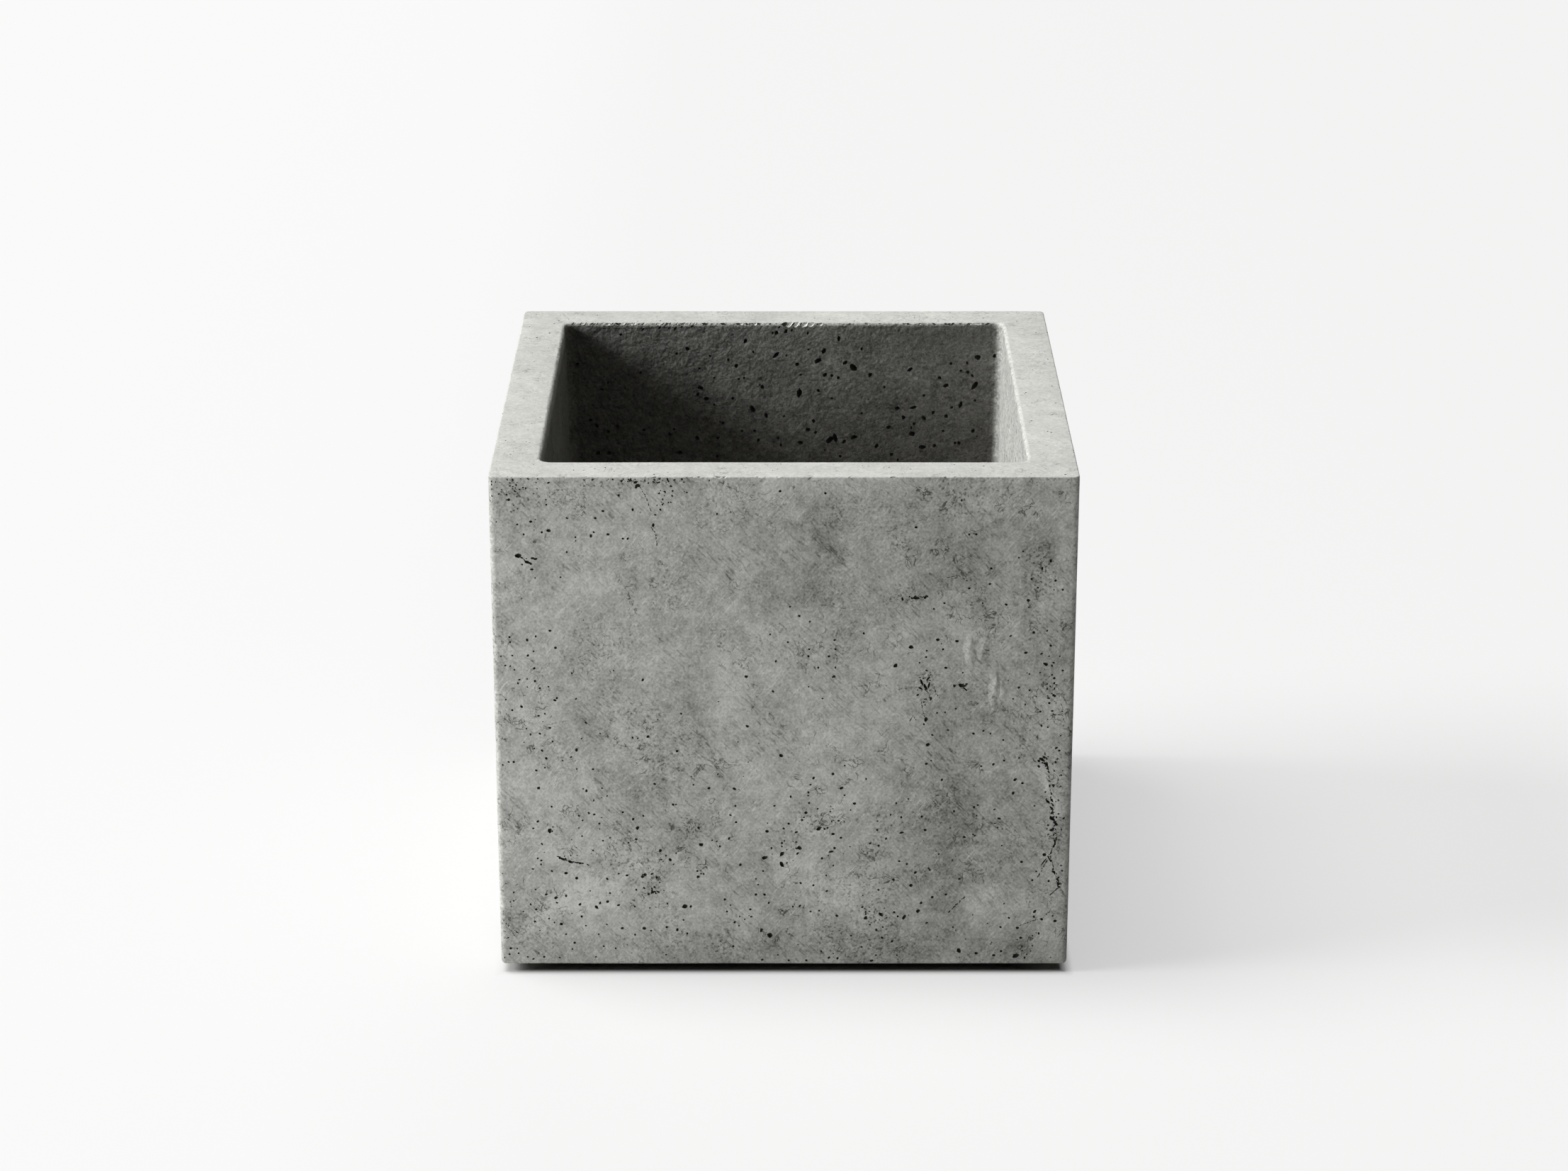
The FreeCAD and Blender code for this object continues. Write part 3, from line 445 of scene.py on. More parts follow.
class PlanterColours(bpy.types.PropertyGroup):
    """Colours of the planter's finishes."""
    concrete_dark: colour_property("Concrete, dark", "#5e5e5a", "Cement between pale patches")
    concrete_pale: colour_property("Concrete, pale", "#e2e2dd", "Lime bloom on the cast skin")
    # Painted shade in the cavity: the colour that its walls are multiplied by where they lie in shade
    concrete_painted_shade: colour_property("Concrete, damp", "#91908c", "What the inside keeps of its paleness")
    # The pore's colour is painted shade, darker than the concrete of its walls
    pore: colour_property("Pore", "#2a2a28", "Inside of an open air pore")
    fresh_break: colour_property("Fresh break", "#f0f0ec", "Concrete where an edge has chipped off")
    rubber: colour_property("Rubber", "#262626", "Moulded feet and plug")
    rubber_dust: colour_property("Rubber, dusty", "#454543", "Grey dusting on the plug")
    rubber_worn: colour_property("Rubber, worn", "#4a4947", "Grey bloom on the feet")
    sleeve: colour_property("Sleeve", "#7d8083", "Moulded PVC of the drain sleeve")
    sleeve_dust: colour_property("Sleeve, dusty", "#8f9295", "Dust on the drain sleeve")
    screen: colour_property("Screen", "#3a3c3d", "Moulded polypropylene of the drain screen")
    screen_dust: colour_property("Screen, dusty", "#4a4c4d", "Dust on the drain screen")
    zinc: colour_property("Zinc", "#c4c7c9", "Plated screws, washers and sockets")
    zinc_mottle: colour_property("Zinc, mottled", "#9fa4a8", "Darker crystals of the plating")
    wire: colour_property("Wire", "#a9adb0", "Galvanised reinforcing wire")
    wire_bloom: colour_property("Wire, dull", "#82868a", "Dull bloom on the galvanised wire")


class PlanterStage(bpy.types.PropertyGroup):
    """Light and ground of the studio."""
    top_strength: number_property("Top light", 1.2, "Light from nearly overhead, in W/m2")
    top_height: angle_property("Top light's height", 83.0, "Angle above the ground")
    high_strength: number_property("High light", 1.2, "Light from high on the left, in W/m2")
    high_height: angle_property("High light's height", 64.0, "Angle above the ground")
    high_forward: angle_property("High light forward", -16.0, "Angle in front of the left side")
    side_strength: number_property("Side light", 2.4, "Light from low on the left, in W/m2")
    side_height: angle_property("Side light's height", 32.0, "Angle above the ground")
    side_forward: angle_property("Side light forward", 4.0, "Angle in front of the left side")
    spread: angle_property("Spread", 26.0, "Angle that each of these lights takes up")
    card_power: number_property("Card", 5.75, "Power of the low card in front on the left", unit="POWER")
    card_place: FloatVectorProperty(name="Card's place", description="Middle of the card", subtype="XYZ",
                                    unit="LENGTH", default=(-1.0, -1.05, 0.19))
    card_width: length_property("Card's width", 1000.0, "Width of the card")
    card_height: length_property("Card's height", 340.0, "Height of the card, which ends below the rim")
    fill: number_property("Fill", 0.01, "Light from all round the stage")
    ground: colour_property("Ground", "#dededd", "Pale floor")
    ground_bounce: colour_property("Ground's bounce", "#b0b0af", "Floor as it lights the tub from below")
    # Painted shadow of the floor in the gap below the tub
    ground_painted_shadow: colour_property("Ground below", "#6a6a69", "Floor in the gap below the tub")
    white_left: number_property("White, left", 0.75, "Share of plain white in the look of the lit floor",
                                subtype="FACTOR")
    white_right: number_property("White, right", 0.56, "Share of plain white where the shadow falls",
                                 subtype="FACTOR")


class Panel:
    """A flat stretch of the tub's skin, measured across and up from its middle."""

    def __init__(self, middle, across, up, width, height):
        self.middle = Vector(middle)
        self.across = Vector(across).normalized()
        self.up = Vector(up).normalized()
        self.out = self.across.cross(self.up)
        self.width = width
        self.height = height

    def point(self, u, v, out=0.0):
        return self.middle + self.across * u + self.up * v + self.out * out

    def seen_at(self, across_pixels, down_pixels):
        """Where on this panel the camera sees a pixel of the photograph."""
        reach = CAMERA_LENS / CAMERA_SENSOR * IMAGE_WIDTH
        line = Vector((across_pixels - IMAGE_WIDTH / 2, IMAGE_HEIGHT / 2 - down_pixels, -reach))
        line.rotate(Matrix.Rotation(CAMERA_TILT, 3, "X"))
        distance = (self.middle - CAMERA_PLACE).dot(self.out) / line.dot(self.out)
        offset = CAMERA_PLACE + line * distance - self.middle
        return offset.dot(self.across), offset.dot(self.up)


Pit = namedtuple("Pit", "place reach length material")


def skin_panels(sizes):
    """The tub's flat stretches by name."""
    middle_z = (TUB_LOW.z + RIM_Z) / 2
    height = RIM_Z - TUB_LOW.z
    cavity_z = (FLOOR_Z + RIM_Z) / 2
    cavity_height = RIM_Z - FLOOR_Z
    lean = math.tan(sizes.core_draft)
    inner_x = HALF_WIDTH - sizes.rim_wall - lean * cavity_height / 2
    inner_y = HALF_DEPTH - sizes.rim_wall - lean * cavity_height / 2
    return {
        "front": Panel((0, -HALF_DEPTH, middle_z), (1, 0, 0), (0, 0, 1), 2 * HALF_WIDTH, height),
        "back": Panel((0, HALF_DEPTH, middle_z), (-1, 0, 0), (0, 0, 1), 2 * HALF_WIDTH, height),
        "left": Panel((-HALF_WIDTH, 0, middle_z), (0, -1, 0), (0, 0, 1), 2 * HALF_DEPTH, height),
        "right": Panel((HALF_WIDTH, 0, middle_z), (0, 1, 0), (0, 0, 1), 2 * HALF_DEPTH, height),
        "inner_back": Panel((0, inner_y, cavity_z), (1, 0, 0), (0, lean, 1), 2 * inner_x, cavity_height),
        "inner_front": Panel((0, -inner_y, cavity_z), (-1, 0, 0), (0, -lean, 1), 2 * inner_x, cavity_height),
        "inner_left": Panel((-inner_x, 0, cavity_z), (0, 1, 0), (-lean, 0, 1), 2 * inner_y, cavity_height),
        "inner_right": Panel((inner_x, 0, cavity_z), (0, -1, 0), (lean, 0, 1), 2 * inner_y, cavity_height),
        "rim": Panel((0, 0, RIM_Z), (1, 0, 0), (0, 1, 0), 2 * HALF_WIDTH, 2 * HALF_DEPTH),
        "cavity_floor": Panel((0, 0, FLOOR_Z), (1, 0, 0), (0, 1, 0), 2 * inner_x, 2 * inner_y),
        "underside": Panel((0, 0, TUB_LOW.z), (1, 0, 0), (0, -1, 0), 2 * HALF_WIDTH, 2 * HALF_DEPTH),
    }


def pit_on(panel, u, v, width, length, turn, rng, depth=PORE_DEPTH, out=-PORE_SUNK, material=PORE):
    """A pit of the given width and length in metres, turned on its panel by an angle."""
    frame_axes = Matrix((panel.across, panel.up, panel.out)).transposed().to_4x4()
    spin = Matrix.Rotation(rng.uniform(0, math.tau), 4, Vector((rng.gauss(0, 1), rng.gauss(0, 1), 1)))
    shape = Matrix.Diagonal((length / 2, width / 2, depth * (width + length) / 2, 1))
    place = (Matrix.Translation(panel.point(u, v, out)) @ frame_axes @ Matrix.Rotation(turn, 4, "Z")
             @ shape @ spin)
    return Pit(place, length * PIT_REACH, length, material)


def scattered(panel, count, middle_width, density, margin, rng):
    """Pores spread at random over a panel, thicker where density, from 0 to 1, is high."""
    pits = []
    while len(pits) < count:
        u = (rng.random() - 0.5) * (panel.width - 2 * margin)
        v = (rng.random() - 0.5) * (panel.height - 2 * margin)
        if rng.random() > density(u / panel.width + 0.5, v / panel.height + 0.5):
            continue
        width = middle_width * math.exp(rng.gauss(0, PORE_SPREAD))
        width = min(max(width, NARROWEST_PORE), WIDEST_PORE) * MM
        length = width * rng.uniform(1.0, PORE_STRETCH)
        pits.append(pit_on(panel, u, v, width, length, rng.uniform(0, math.pi), rng))
    return pits


def clumps(u, v, seed):
    """Uneven density in clumps a few centimetres wide."""
    return 0.5 + CLUMP_SWING * noise.noise(Vector((u * CLUMPS_ACROSS, v * CLUMPS_ACROSS, seed)))


def front_density(u, v):
    """Many pores in the lower half and towards the sides, few in the upper middle."""
    top_of_low, blend = 0.62, 0.3
    least, low_share, side_share = 0.10, 0.75, 0.35
    low = low_share * max(0.0, min(1.0, (top_of_low - v) / blend))
    side = side_share * abs(2 * u - 1) ** 2
    return (least + low + side) * clumps(u, v, seed=3.1)


def inner_density(u, v):
    """Few pores near the rim and more towards the floor."""
    least, low_share = 0.35, 0.5
    return (least + low_share * (1 - v)) * clumps(u, v, seed=8.7)


def rim_only(u, v):
    """Pores on the flat of the rim and none over the cavity."""
    cavity_reach = 0.43
    reach = max(abs(u - 0.5), abs(v - 0.5))
    return 1.0 if cavity_reach < reach else 0.0


def even_density(u, v):
    """Pores in clumps all over."""
    return clumps(u, v, seed=5.5)


# Pores at random: panel, number, usual width in millimetres, density, margin at its edges in millimetres
SCATTERED_PORES = (
    ("front", 190, 1.15, front_density, 5), ("back", 420, 1.45, front_density, 5),
    ("left", 420, 1.45, front_density, 5), ("right", 420, 1.45, front_density, 5),
    ("inner_back", 60, 1.7, inner_density, 11), ("inner_front", 120, 2.0, inner_density, 11),
    ("inner_left", 120, 2.0, inner_density, 11), ("inner_right", 120, 2.0, inner_density, 11),
    ("rim", 90, 1.0, rim_only, 4), ("cavity_floor", 90, 1.8, even_density, 8),
    ("underside", 160, 1.8, even_density, 6),
)


def seen_pores(panel, pores, rng, depth, material=PORE):
    """Pits at pixels of the photograph, with their own widths, lengths and turns."""
    pits = []
    for across, down, width, length, turn in pores:
        u, v = panel.seen_at(across, down)
        pits.append(pit_on(panel, u, v, width * MM, length * MM, math.radians(turn), rng, depth,
                           material=material))
    return pits


def small_pores(panel, pores, middle_width, rng):
    """Pits at pixels of the photograph, all of about one width."""
    pits = []
    for across, down in pores:
        u, v = panel.seen_at(across, down)
        width = middle_width * rng.uniform(*SMALL_PORE_WIDTHS) * MM
        length = width * rng.uniform(*SMALL_PORE_LENGTHS)
        turn = rng.uniform(0, math.pi)
        pits.append(pit_on(panel, u, v, width, length, turn, rng, SEEN_PORE_DEPTH))
    return pits


def seen_clusters(panel, clusters, rng):
    """Pits that gather round pixels of the photograph."""
    pits = []
    edge_u = panel.width / 2 - CLUSTER_MARGINS[0]
    edge_v = panel.height / 2 - CLUSTER_MARGINS[1]
    for across, down, spread_u, spread_v, count, width in clusters:
        u, v = panel.seen_at(across, down)
        for _ in range(count):
            at_u = u + rng.gauss(0, spread_u * MM)
            at_v = v + rng.gauss(0, spread_v * MM)
            at_u = min(max(at_u, -edge_u), edge_u)
            at_v = min(max(at_v, -edge_v), edge_v)
            size = width * rng.uniform(*CLUSTER_WIDTHS) * MM
            length = size * rng.uniform(*CLUSTER_LENGTHS)
            pits.append(pit_on(panel, at_u, at_v, size, length, rng.uniform(0, math.pi), rng))
    return pits


def seen_chains(panel, chains, rng):
    """Rows of drawn-out pits that run into each other, as in a crack or a scratch."""
    pits = []
    for width, *corners in chains:
        points = [Vector(panel.seen_at(*corner)) for corner in corners]
        for start, end in zip(points, points[1:]):
            way = end - start
            steps = max(1, round(way.length / (CHAIN_PITCH * width * MM)))
            for number in range(steps):
                spot = start + way * ((number + rng.random()) / steps)
                scatter = Vector((rng.gauss(0, CHAIN_SCATTER), rng.gauss(0, CHAIN_SCATTER)))
                spot += scatter * width * MM
                size = width * rng.uniform(*CHAIN_WIDTHS) * MM
                turn = math.atan2(way.y, way.x) + rng.gauss(0, CHAIN_SWING)
                length = size * rng.uniform(*CHAIN_LENGTHS)
                pits.append(pit_on(panel, spot.x, spot.y, size, length, turn, rng))
    return pits


def edge_panel(start, end, out):
    """A narrow panel along an edge of the casting, square to the way out."""
    start, end = Vector(start), Vector(end)
    way = (end - start).normalized()
    return Panel((start + end) / 2, way, Vector(out).cross(way), (end - start).length, 0)


def lip_sunk(sizes):
    """How far the rounder inner lip lies below an edge that is rounded like the outer one."""
    return CORNER_LOSS * (sizes.lip_edge - sizes.rim_edge)


def edge_nicks(start, end, out, count, width, rng, materials=(SKIN,), sunk=0.0):
    """Small breaks along an edge of the casting, which take turns with the given materials."""
    edge = edge_panel(start, end, out)
    nicks = []
    for number in range(count):
        u = (rng.random() - 0.5) * (edge.width - NICK_MARGIN)
        size = width * rng.uniform(*NICK_WIDTHS) * MM
        length = size * rng.uniform(*NICK_LENGTHS)
        nicks.append(pit_on(edge, u, 0, size, length, rng.gauss(0, NICK_SWING), rng,
                            NICK_DEPTH, -sunk, materials[number % len(materials)]))
    return nicks


def all_edge_nicks(sizes, rng):
    """Nicks on the outer and inner rim, the upright corners and the base."""
    x, y = HALF_WIDTH, HALF_DEPTH
    inner_x, inner_y = x - sizes.rim_wall, y - sizes.rim_wall
    nicks = []
    for sx, sy in ((1, 1), (1, -1), (-1, 1), (-1, -1)):
        nicks += edge_nicks((sx * x, sy * y, TUB_LOW.z), (sx * x, sy * y, RIM_Z), (sx, sy, 0),
                            *UPRIGHT_NICKS, rng)
    for z, tilt, kind in ((RIM_Z, 1, RIM_NICKS), (TUB_LOW.z, -1, BASE_NICKS)):
        for side in (1, -1):
            nicks += edge_nicks((-x, side * y, z), (x, side * y, z), (0, side, tilt), *kind, rng)
            nicks += edge_nicks((side * x, -y, z), (side * x, y, z), (side, 0, tilt), *kind, rng)
    sunk = lip_sunk(sizes)
    for side, kind, materials in ((1, BACK_LIP_NICKS, (PORE, SKIN, BREAK)), (-1, FRONT_LIP_NICKS, (SKIN,))):
        nicks += edge_nicks((-inner_x, side * inner_y, RIM_Z), (inner_x, side * inner_y, RIM_Z),
                            (0, -side, 1), *kind, rng, materials, sunk)
        nicks += edge_nicks((side * inner_x, -inner_y, RIM_Z), (side * inner_x, inner_y, RIM_Z),
                            (-side, 0, 1), *SIDE_LIP_NICKS, rng, sunk=sunk)
    return nicks


def back_lip(sizes):
    """A panel along the inner edge of the back rim."""
    inner_x, inner_y = HALF_WIDTH - sizes.rim_wall, HALF_DEPTH - sizes.rim_wall
    return edge_panel((-inner_x, inner_y, RIM_Z), (inner_x, inner_y, RIM_Z), (0, -1, 1))


def back_lip_chips(sizes, wall, rng):
    """Chips of the inner edge of the back rim that the photograph shows."""
    edge = back_lip(sizes)
    chips = []
    for across, width, length, turn, material in EDGE_CHIPS:
        u = wall.seen_at(across, BACK_EDGE_ROW)[0]
        chips.append(pit_on(edge, u, 0, width * MM, length * MM, math.radians(turn), rng, EDGE_CHIP_DEPTH,
                            -lip_sunk(sizes), material))
    return chips


def back_lip_strokes(sizes, wall, rng):
    """Slanting strokes across the left of the same edge, some dark with painted shade, some pale and some
    worn smooth.
    """
    edge = back_lip(sizes)
    sunk = CORNER_LOSS * sizes.lip_edge
    materials = (PORE, SKIN, PORE, BREAK)
    first, last = (wall.seen_at(across, BACK_EDGE_ROW)[0] for across in LIP_STROKE_SPAN)
    strokes = []
    for number in range(LIP_STROKE_COUNT):
        u = first + (last - first) * (number + rng.random()) / LIP_STROKE_COUNT
        size = rng.uniform(*LIP_STROKE_SIZES) * MM
        turn = math.radians(LIP_STROKE_TURN + rng.gauss(0, LIP_STROKE_SWING))
        strokes.append(pit_on(edge, u, 0, LIP_STROKE_WIDTH * size, LIP_STROKE_LENGTH * size, turn, rng,
                              LIP_STROKE_DEPTH, -sunk, materials[number % len(materials)]))
    return strokes


def tub_pits(sizes, rng):
    """Every pore, pit and nick of the tub."""
    panels = skin_panels(sizes)
    front = panels["front"]
    inner_back = panels["inner_back"]
    pits = seen_pores(front, FRONT_PORES, rng, SEEN_PORE_DEPTH)
    pits += small_pores(front, FRONT_SMALL_PORES, FRONT_SMALL_WIDTH, rng)
    pits += small_pores(inner_back, BACK_SMALL_PORES, BACK_SMALL_WIDTH, rng)
    pits += seen_pores(inner_back, BACK_PORES, rng, SEEN_PORE_DEPTH)
    pits += seen_pores(inner_back, PALE_CHIPS, rng, WALL_CHIP_DEPTH, BREAK)
    pits += seen_pores(inner_back, PAINTED_SHADE_CHIPS, rng, WALL_CHIP_DEPTH)
    pits += seen_clusters(front, FRONT_CLUSTERS, rng)
    pits += seen_chains(front, FRONT_CHAINS, rng)
    for name, count, width, density, margin in SCATTERED_PORES:
        pits += scattered(panels[name], count, width, density, margin * MM, rng)
    pits += all_edge_nicks(sizes, rng)
    pits += back_lip_chips(sizes, inner_back, rng)
    pits += back_lip_strokes(sizes, inner_back, rng)
    return pits + seen_chains(inner_back, LIP_SHADOW_LINE, rng)


def rounds_without_contact(pits):
    """Sorts the pits into rounds, so that no two of one round touch."""
    rounds = []
    for pit in pits:
        centre = pit.place.translation
        key = tuple(math.floor(c / PIT_CELL) for c in centre)
        near = [(key[0] + i, key[1] + j, key[2] + k)
                for i in (-1, 0, 1) for j in (-1, 0, 1) for k in (-1, 0, 1)]
        for cells in rounds:
            if all((other.place.translation - centre).length > pit.reach + other.reach
                   for spot in near for other in cells.get(spot, ())):
                cells[key].append(pit)
                break
        else:
            rounds.append(defaultdict(list, {key: [pit]}))
    return [[pit for group in cells.values() for pit in group] for cells in rounds]


def pit_shapes(rng):
    """Uneven balls that the pits are cut with: coarse ones for small pits and finer ones for large.

    The coarse ones are a little larger, because they have less between their corners.
    """
    shapes = {}
    for kind in (COARSE_BALLS, FINE_BALLS):
        subdivisions, copies, swing, radius = kind
        shapes[kind] = []
        for _ in range(copies):
            ball = bmesh.new()
            bmesh.ops.create_icosphere(ball, subdivisions=subdivisions, radius=radius)
            for vert in ball.verts:
                vert.co *= 1 + rng.uniform(-swing, swing)
            mesh = bpy.data.meshes.new("pit")
            ball.to_mesh(mesh)
            ball.free()
            shapes[kind].append(mesh)
    return shapes


def pit_cutters(pits, shapes, rng):
    """One bmesh with a ball in every pit's place."""
    cutters = bmesh.new()
    for pit in pits:
        mesh = rng.choice(shapes[FINE_BALLS if pit.length > FINE_PIT else COARSE_BALLS])
        mesh.polygons.foreach_set("material_index", [pit.material] * len(mesh.polygons))
        mesh.transform(pit.place)
        cutters.from_mesh(mesh)
        mesh.transform(pit.place.inverted())
    return cutters


def turned(profile, centre, segments):
    """Solid of revolution about an upright axis from (radius, height) corners that start and end on it."""
    solid = bmesh.new()
    verts = [solid.verts.new((centre[0] + radius, centre[1], height)) for radius, height in profile]
    edges = [solid.edges.new(pair) for pair in zip(verts, verts[1:])]
    bmesh.ops.spin(solid, geom=verts + edges, cent=(centre[0], centre[1], 0), axis=(0, 0, 1),
                   angle=math.tau, steps=segments, use_merge=True)
    bmesh.ops.remove_doubles(solid, verts=solid.verts[:], dist=SAME_PLACE)
    bmesh.ops.recalc_face_normals(solid, faces=solid.faces[:])
    return solid


def added(target, other):
    """Copies one bmesh into another and frees it."""
    mesh = bpy.data.meshes.new("copied")
    other.to_mesh(mesh)
    other.free()
    target.from_mesh(mesh)
    bpy.data.meshes.remove(mesh)


def fitting_cutters(sizes):
    """Holes of the drain sleeve, the feet and their sockets."""
    gap = sizes.joint_line
    below = TUB_LOW.z - CUT_ALLOWANCE
    above = FLOOR_Z + CUT_ALLOWANCE
    flange = SLEEVE_HIGH.x + gap
    flange_z = FLOOR_Z - sizes.flange_thickness
    cutters = turned([(0, below), (sizes.sleeve_radius, below), (sizes.sleeve_radius, flange_z),
                      (flange, flange_z), (flange, above), (0, above)], (0, 0), DRAIN_SIDES)
    socket_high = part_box("foot_sockets")[1]
    for foot in FEET:
        low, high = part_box(foot)
        middle = (low + high) / 2
        pocket = (high.x - low.x) / 2 + FOOT_CLEARANCE
        socket = socket_high.x - max(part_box(name)[1].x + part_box(name)[0].x for name in FEET) / 2
        outline = [(0, below), (pocket, below), (pocket, high.z), (socket, high.z),
                   (socket, socket_high.z), (0, socket_high.z)]
        added(cutters, turned(outline, (middle.x, middle.y), FOOT_SIDES))
    return cutters


def new_piece(name, shape, materials):
    """A piece from a finished bmesh, at the origin, with its materials."""
    mesh = bpy.data.meshes.new(name)
    shape.to_mesh(mesh)
    shape.free()
    for material in materials:
        mesh.materials.append(material)
    piece = bpy.data.objects.new(name, mesh)
    bpy.context.scene.collection.objects.link(piece)
    return piece


def carve(piece, cutters):
    """Cuts a closed bmesh out of a piece."""
    tool = new_piece("cutters", cutters, piece.data.materials)
    cut = piece.modifiers.new("Carve", "BOOLEAN")
    cut.operation = "DIFFERENCE"
    cut.solver = "MANIFOLD"
    cut.object = tool
    whole = piece.data
    piece.data = bpy.data.meshes.new_from_object(piece.evaluated_get(bpy.context.evaluated_depsgraph_get()))
    piece.modifiers.remove(cut)
    piece.data.name = whole.name
    bpy.data.meshes.remove(whole)
    used = tool.data
    bpy.data.objects.remove(tool)
    bpy.data.meshes.remove(used)
    if not piece.data.polygons:
        raise RuntimeError("nothing is left of the piece that was carved")


def round_over(shape, edges, radius, segments):
    """Rounds edges to a radius."""
    bmesh.ops.bevel(shape, geom=edges, offset=radius, offset_type="OFFSET", affect="EDGES",
                    segments=segments, profile=0.5, material=-1, clamp_overlap=False)
    shape.normal_update()


def split_along(shape, axis, at):
    """Splits the faces along a plane square to an axis."""
    normal = Vector([float(axis == number) for number in range(3)])
    bmesh.ops.bisect_plane(shape, geom=shape.verts[:] + shape.edges[:] + shape.faces[:], dist=SAME_PLACE,
                           plane_co=normal * at, plane_no=normal)


def lies_at(edge, height):
    """Whether both ends of an edge are at a height."""
    return all(abs(vert.co.z - height) < SAME_PLACE for vert in edge.verts)


def level_edges(shape, height):
    """Sharp edges that lie at one height."""
    return [edge for edge in shape.edges if lies_at(edge, height) and edge.calc_face_angle() > SHARP_ANGLE]


def corner_edges(shape, nearest, furthest):
    """Sharp upright edges whose distance from the middle, along X, is in a range."""
    return [edge for edge in shape.edges
            if abs(edge.verts[0].co.z - edge.verts[1].co.z) > FLOOR_Z
            and edge.calc_face_angle() > SHARP_ANGLE
            and nearest < abs(edge.verts[0].co.x) < furthest]


def slants(edge):
    """Whether an edge runs across both X and Y."""
    return all(abs(edge.verts[0].co[axis] - edge.verts[1].co[axis]) > MM for axis in (0, 1))


def sharp_block(sizes, taper):
    """A block with a drafted cavity, whose rim has no edges across its corners."""
    shape = bmesh.new()
    size = TUB_HIGH - TUB_LOW
    bmesh.ops.create_cube(shape, size=1.0, matrix=Matrix.Translation((TUB_HIGH + TUB_LOW) / 2)
                          @ Matrix.Diagonal((*size, 1)))
    top = max(shape.faces, key=lambda face: face.calc_center_median().z)
    bmesh.ops.inset_region(shape, faces=[top], thickness=sizes.rim_wall, use_even_offset=True)
    core = bmesh.ops.extrude_discrete_faces(shape, faces=[top])["faces"][0]
    bmesh.ops.scale(shape, verts=core.verts[:], vec=(taper, taper, 1))
    bmesh.ops.translate(shape, verts=core.verts[:], vec=(0, 0, FLOOR_Z - RIM_Z))
    split_along(shape, 0, 0.0)
    split_along(shape, 1, 0.0)
    mitres = [edge for edge in shape.edges if lies_at(edge, RIM_Z) and slants(edge)]
    bmesh.ops.dissolve_edges(shape, edges=mitres)
    shape.normal_update()
    return shape


def round_edges(shape, sizes, inner):
    """Rounds the corners and edges of the block and of its cavity."""
    round_over(shape, corner_edges(shape, inner + MM, HALF_WIDTH + MM), sizes.upright_edge, segments=6)
    round_over(shape, corner_edges(shape, inner / 2, inner + MM), sizes.cavity_corner, segments=7)
    round_over(shape, level_edges(shape, TUB_LOW.z), sizes.base_edge, segments=5)
    round_over(shape, level_edges(shape, FLOOR_Z), sizes.cavity_floor_edge, segments=4)
    lip = [edge for edge in level_edges(shape, RIM_Z)
           if all(max(abs(vert.co.x), abs(vert.co.y)) < inner + MM for vert in edge.verts)]
    round_over(shape, lip, sizes.lip_edge, segments=7)
    round_over(shape, level_edges(shape, RIM_Z), sizes.rim_edge, segments=4)


def split_evenly(shape, grid, slanted_from, slanted_to):
    """Splits the block into squares, but not along planes that would cut the slanted walls in slivers."""
    for axis in range(3):
        low, high = TUB_LOW[axis], TUB_HIGH[axis]
        count = round((high - low) / grid)
        for number in range(1, count):
            at = low + (high - low) * number / count
            if axis == 2 or not slanted_from < abs(at) < slanted_to:
                split_along(shape, axis, at)
    shape.normal_update()


def cast_block(sizes):
    """The tub as the mould leaves it: rounded block, drafted cavity, fine even mesh, slightly wavy skin."""
    inner = HALF_WIDTH - sizes.rim_wall
    taper = 1 - (RIM_Z - FLOOR_Z) * math.tan(sizes.core_draft) / inner
    shape = sharp_block(sizes, taper)
    round_edges(shape, sizes, inner)
    split_evenly(shape, sizes.grid, inner * taper - sizes.cavity_corner,
                 inner + sizes.lip_edge + sizes.rim_edge)
    for vert in shape.verts:
        wave = 0.5 + 0.5 * noise.noise(vert.co / sizes.wave_length)
        vert.co -= vert.normal * wave * sizes.waviness
    return shape


# Sockets by number. Map Range: 0 value, 1 and 2 its range, 3 and 4 what that becomes, 0 to 1 if not given.
# Mix: 0 share, then 2 and 3 for numbers or 6 and 7 for colours. Math and Vector Math: 0, 1 and 2 in order.
def add_node(tree, kind, inputs, **settings):
    """Adds a node, sets its properties, and fills its sockets with values or with other nodes' outputs."""
    made = tree.nodes.new(kind)
    for name, value in settings.items():
        setattr(made, name, value)
    for socket, value in inputs.items():
        if isinstance(value, bpy.types.NodeSocket):
            tree.links.new(value, made.inputs[socket])
        else:
            made.inputs[socket].default_value = value
    return made


def new_material(name, **shader_values):
    """A material with its tree, its surface shader and the piece's own coordinates."""
    material = bpy.data.materials.new(name)
    material.use_nodes = True
    tree = material.node_tree
    tree.nodes.clear()
    shader = add_node(tree, "ShaderNodeBsdfPrincipled", shader_values)
    add_node(tree, "ShaderNodeOutputMaterial", {"Surface": shader.outputs["BSDF"]})
    place = add_node(tree, "ShaderNodeTexCoord", {}).outputs["Object"]
    return material, tree, shader, place


# Layers of tone in the cast skin: grain in millimetres, octaves, swirl, share of the tone
CONCRETE_TONES = (
    (95.0, 2.0, 0.3, 0.55), (34.0, 2.0, 0.7, 0.56), (13.0, 2.0, 0.9, 0.47), (4.8, 2.0, 0.4, 0.47),
    (1.8, 2.0, 0.0, 0.88),
)
# Layers of tone on the walls of the cavity, in the same form
INSIDE_TONES = ((30.0, 2.0, 0.5, 0.60), (9.0, 2.0, 0.5, 0.50), (3.2, 2.0, 0.2, 0.85), (1.5, 1.0, 0.0, 0.90))
# Layers of relief in the cast skin: grain in millimetres, octaves, swirl, height in millimetres
CONCRETE_RELIEF = ((12.0, 2.0, 0.4, 0.32), (3.8, 2.0, 0.2, 0.19), (1.4, 1.0, 0.0, 0.04))
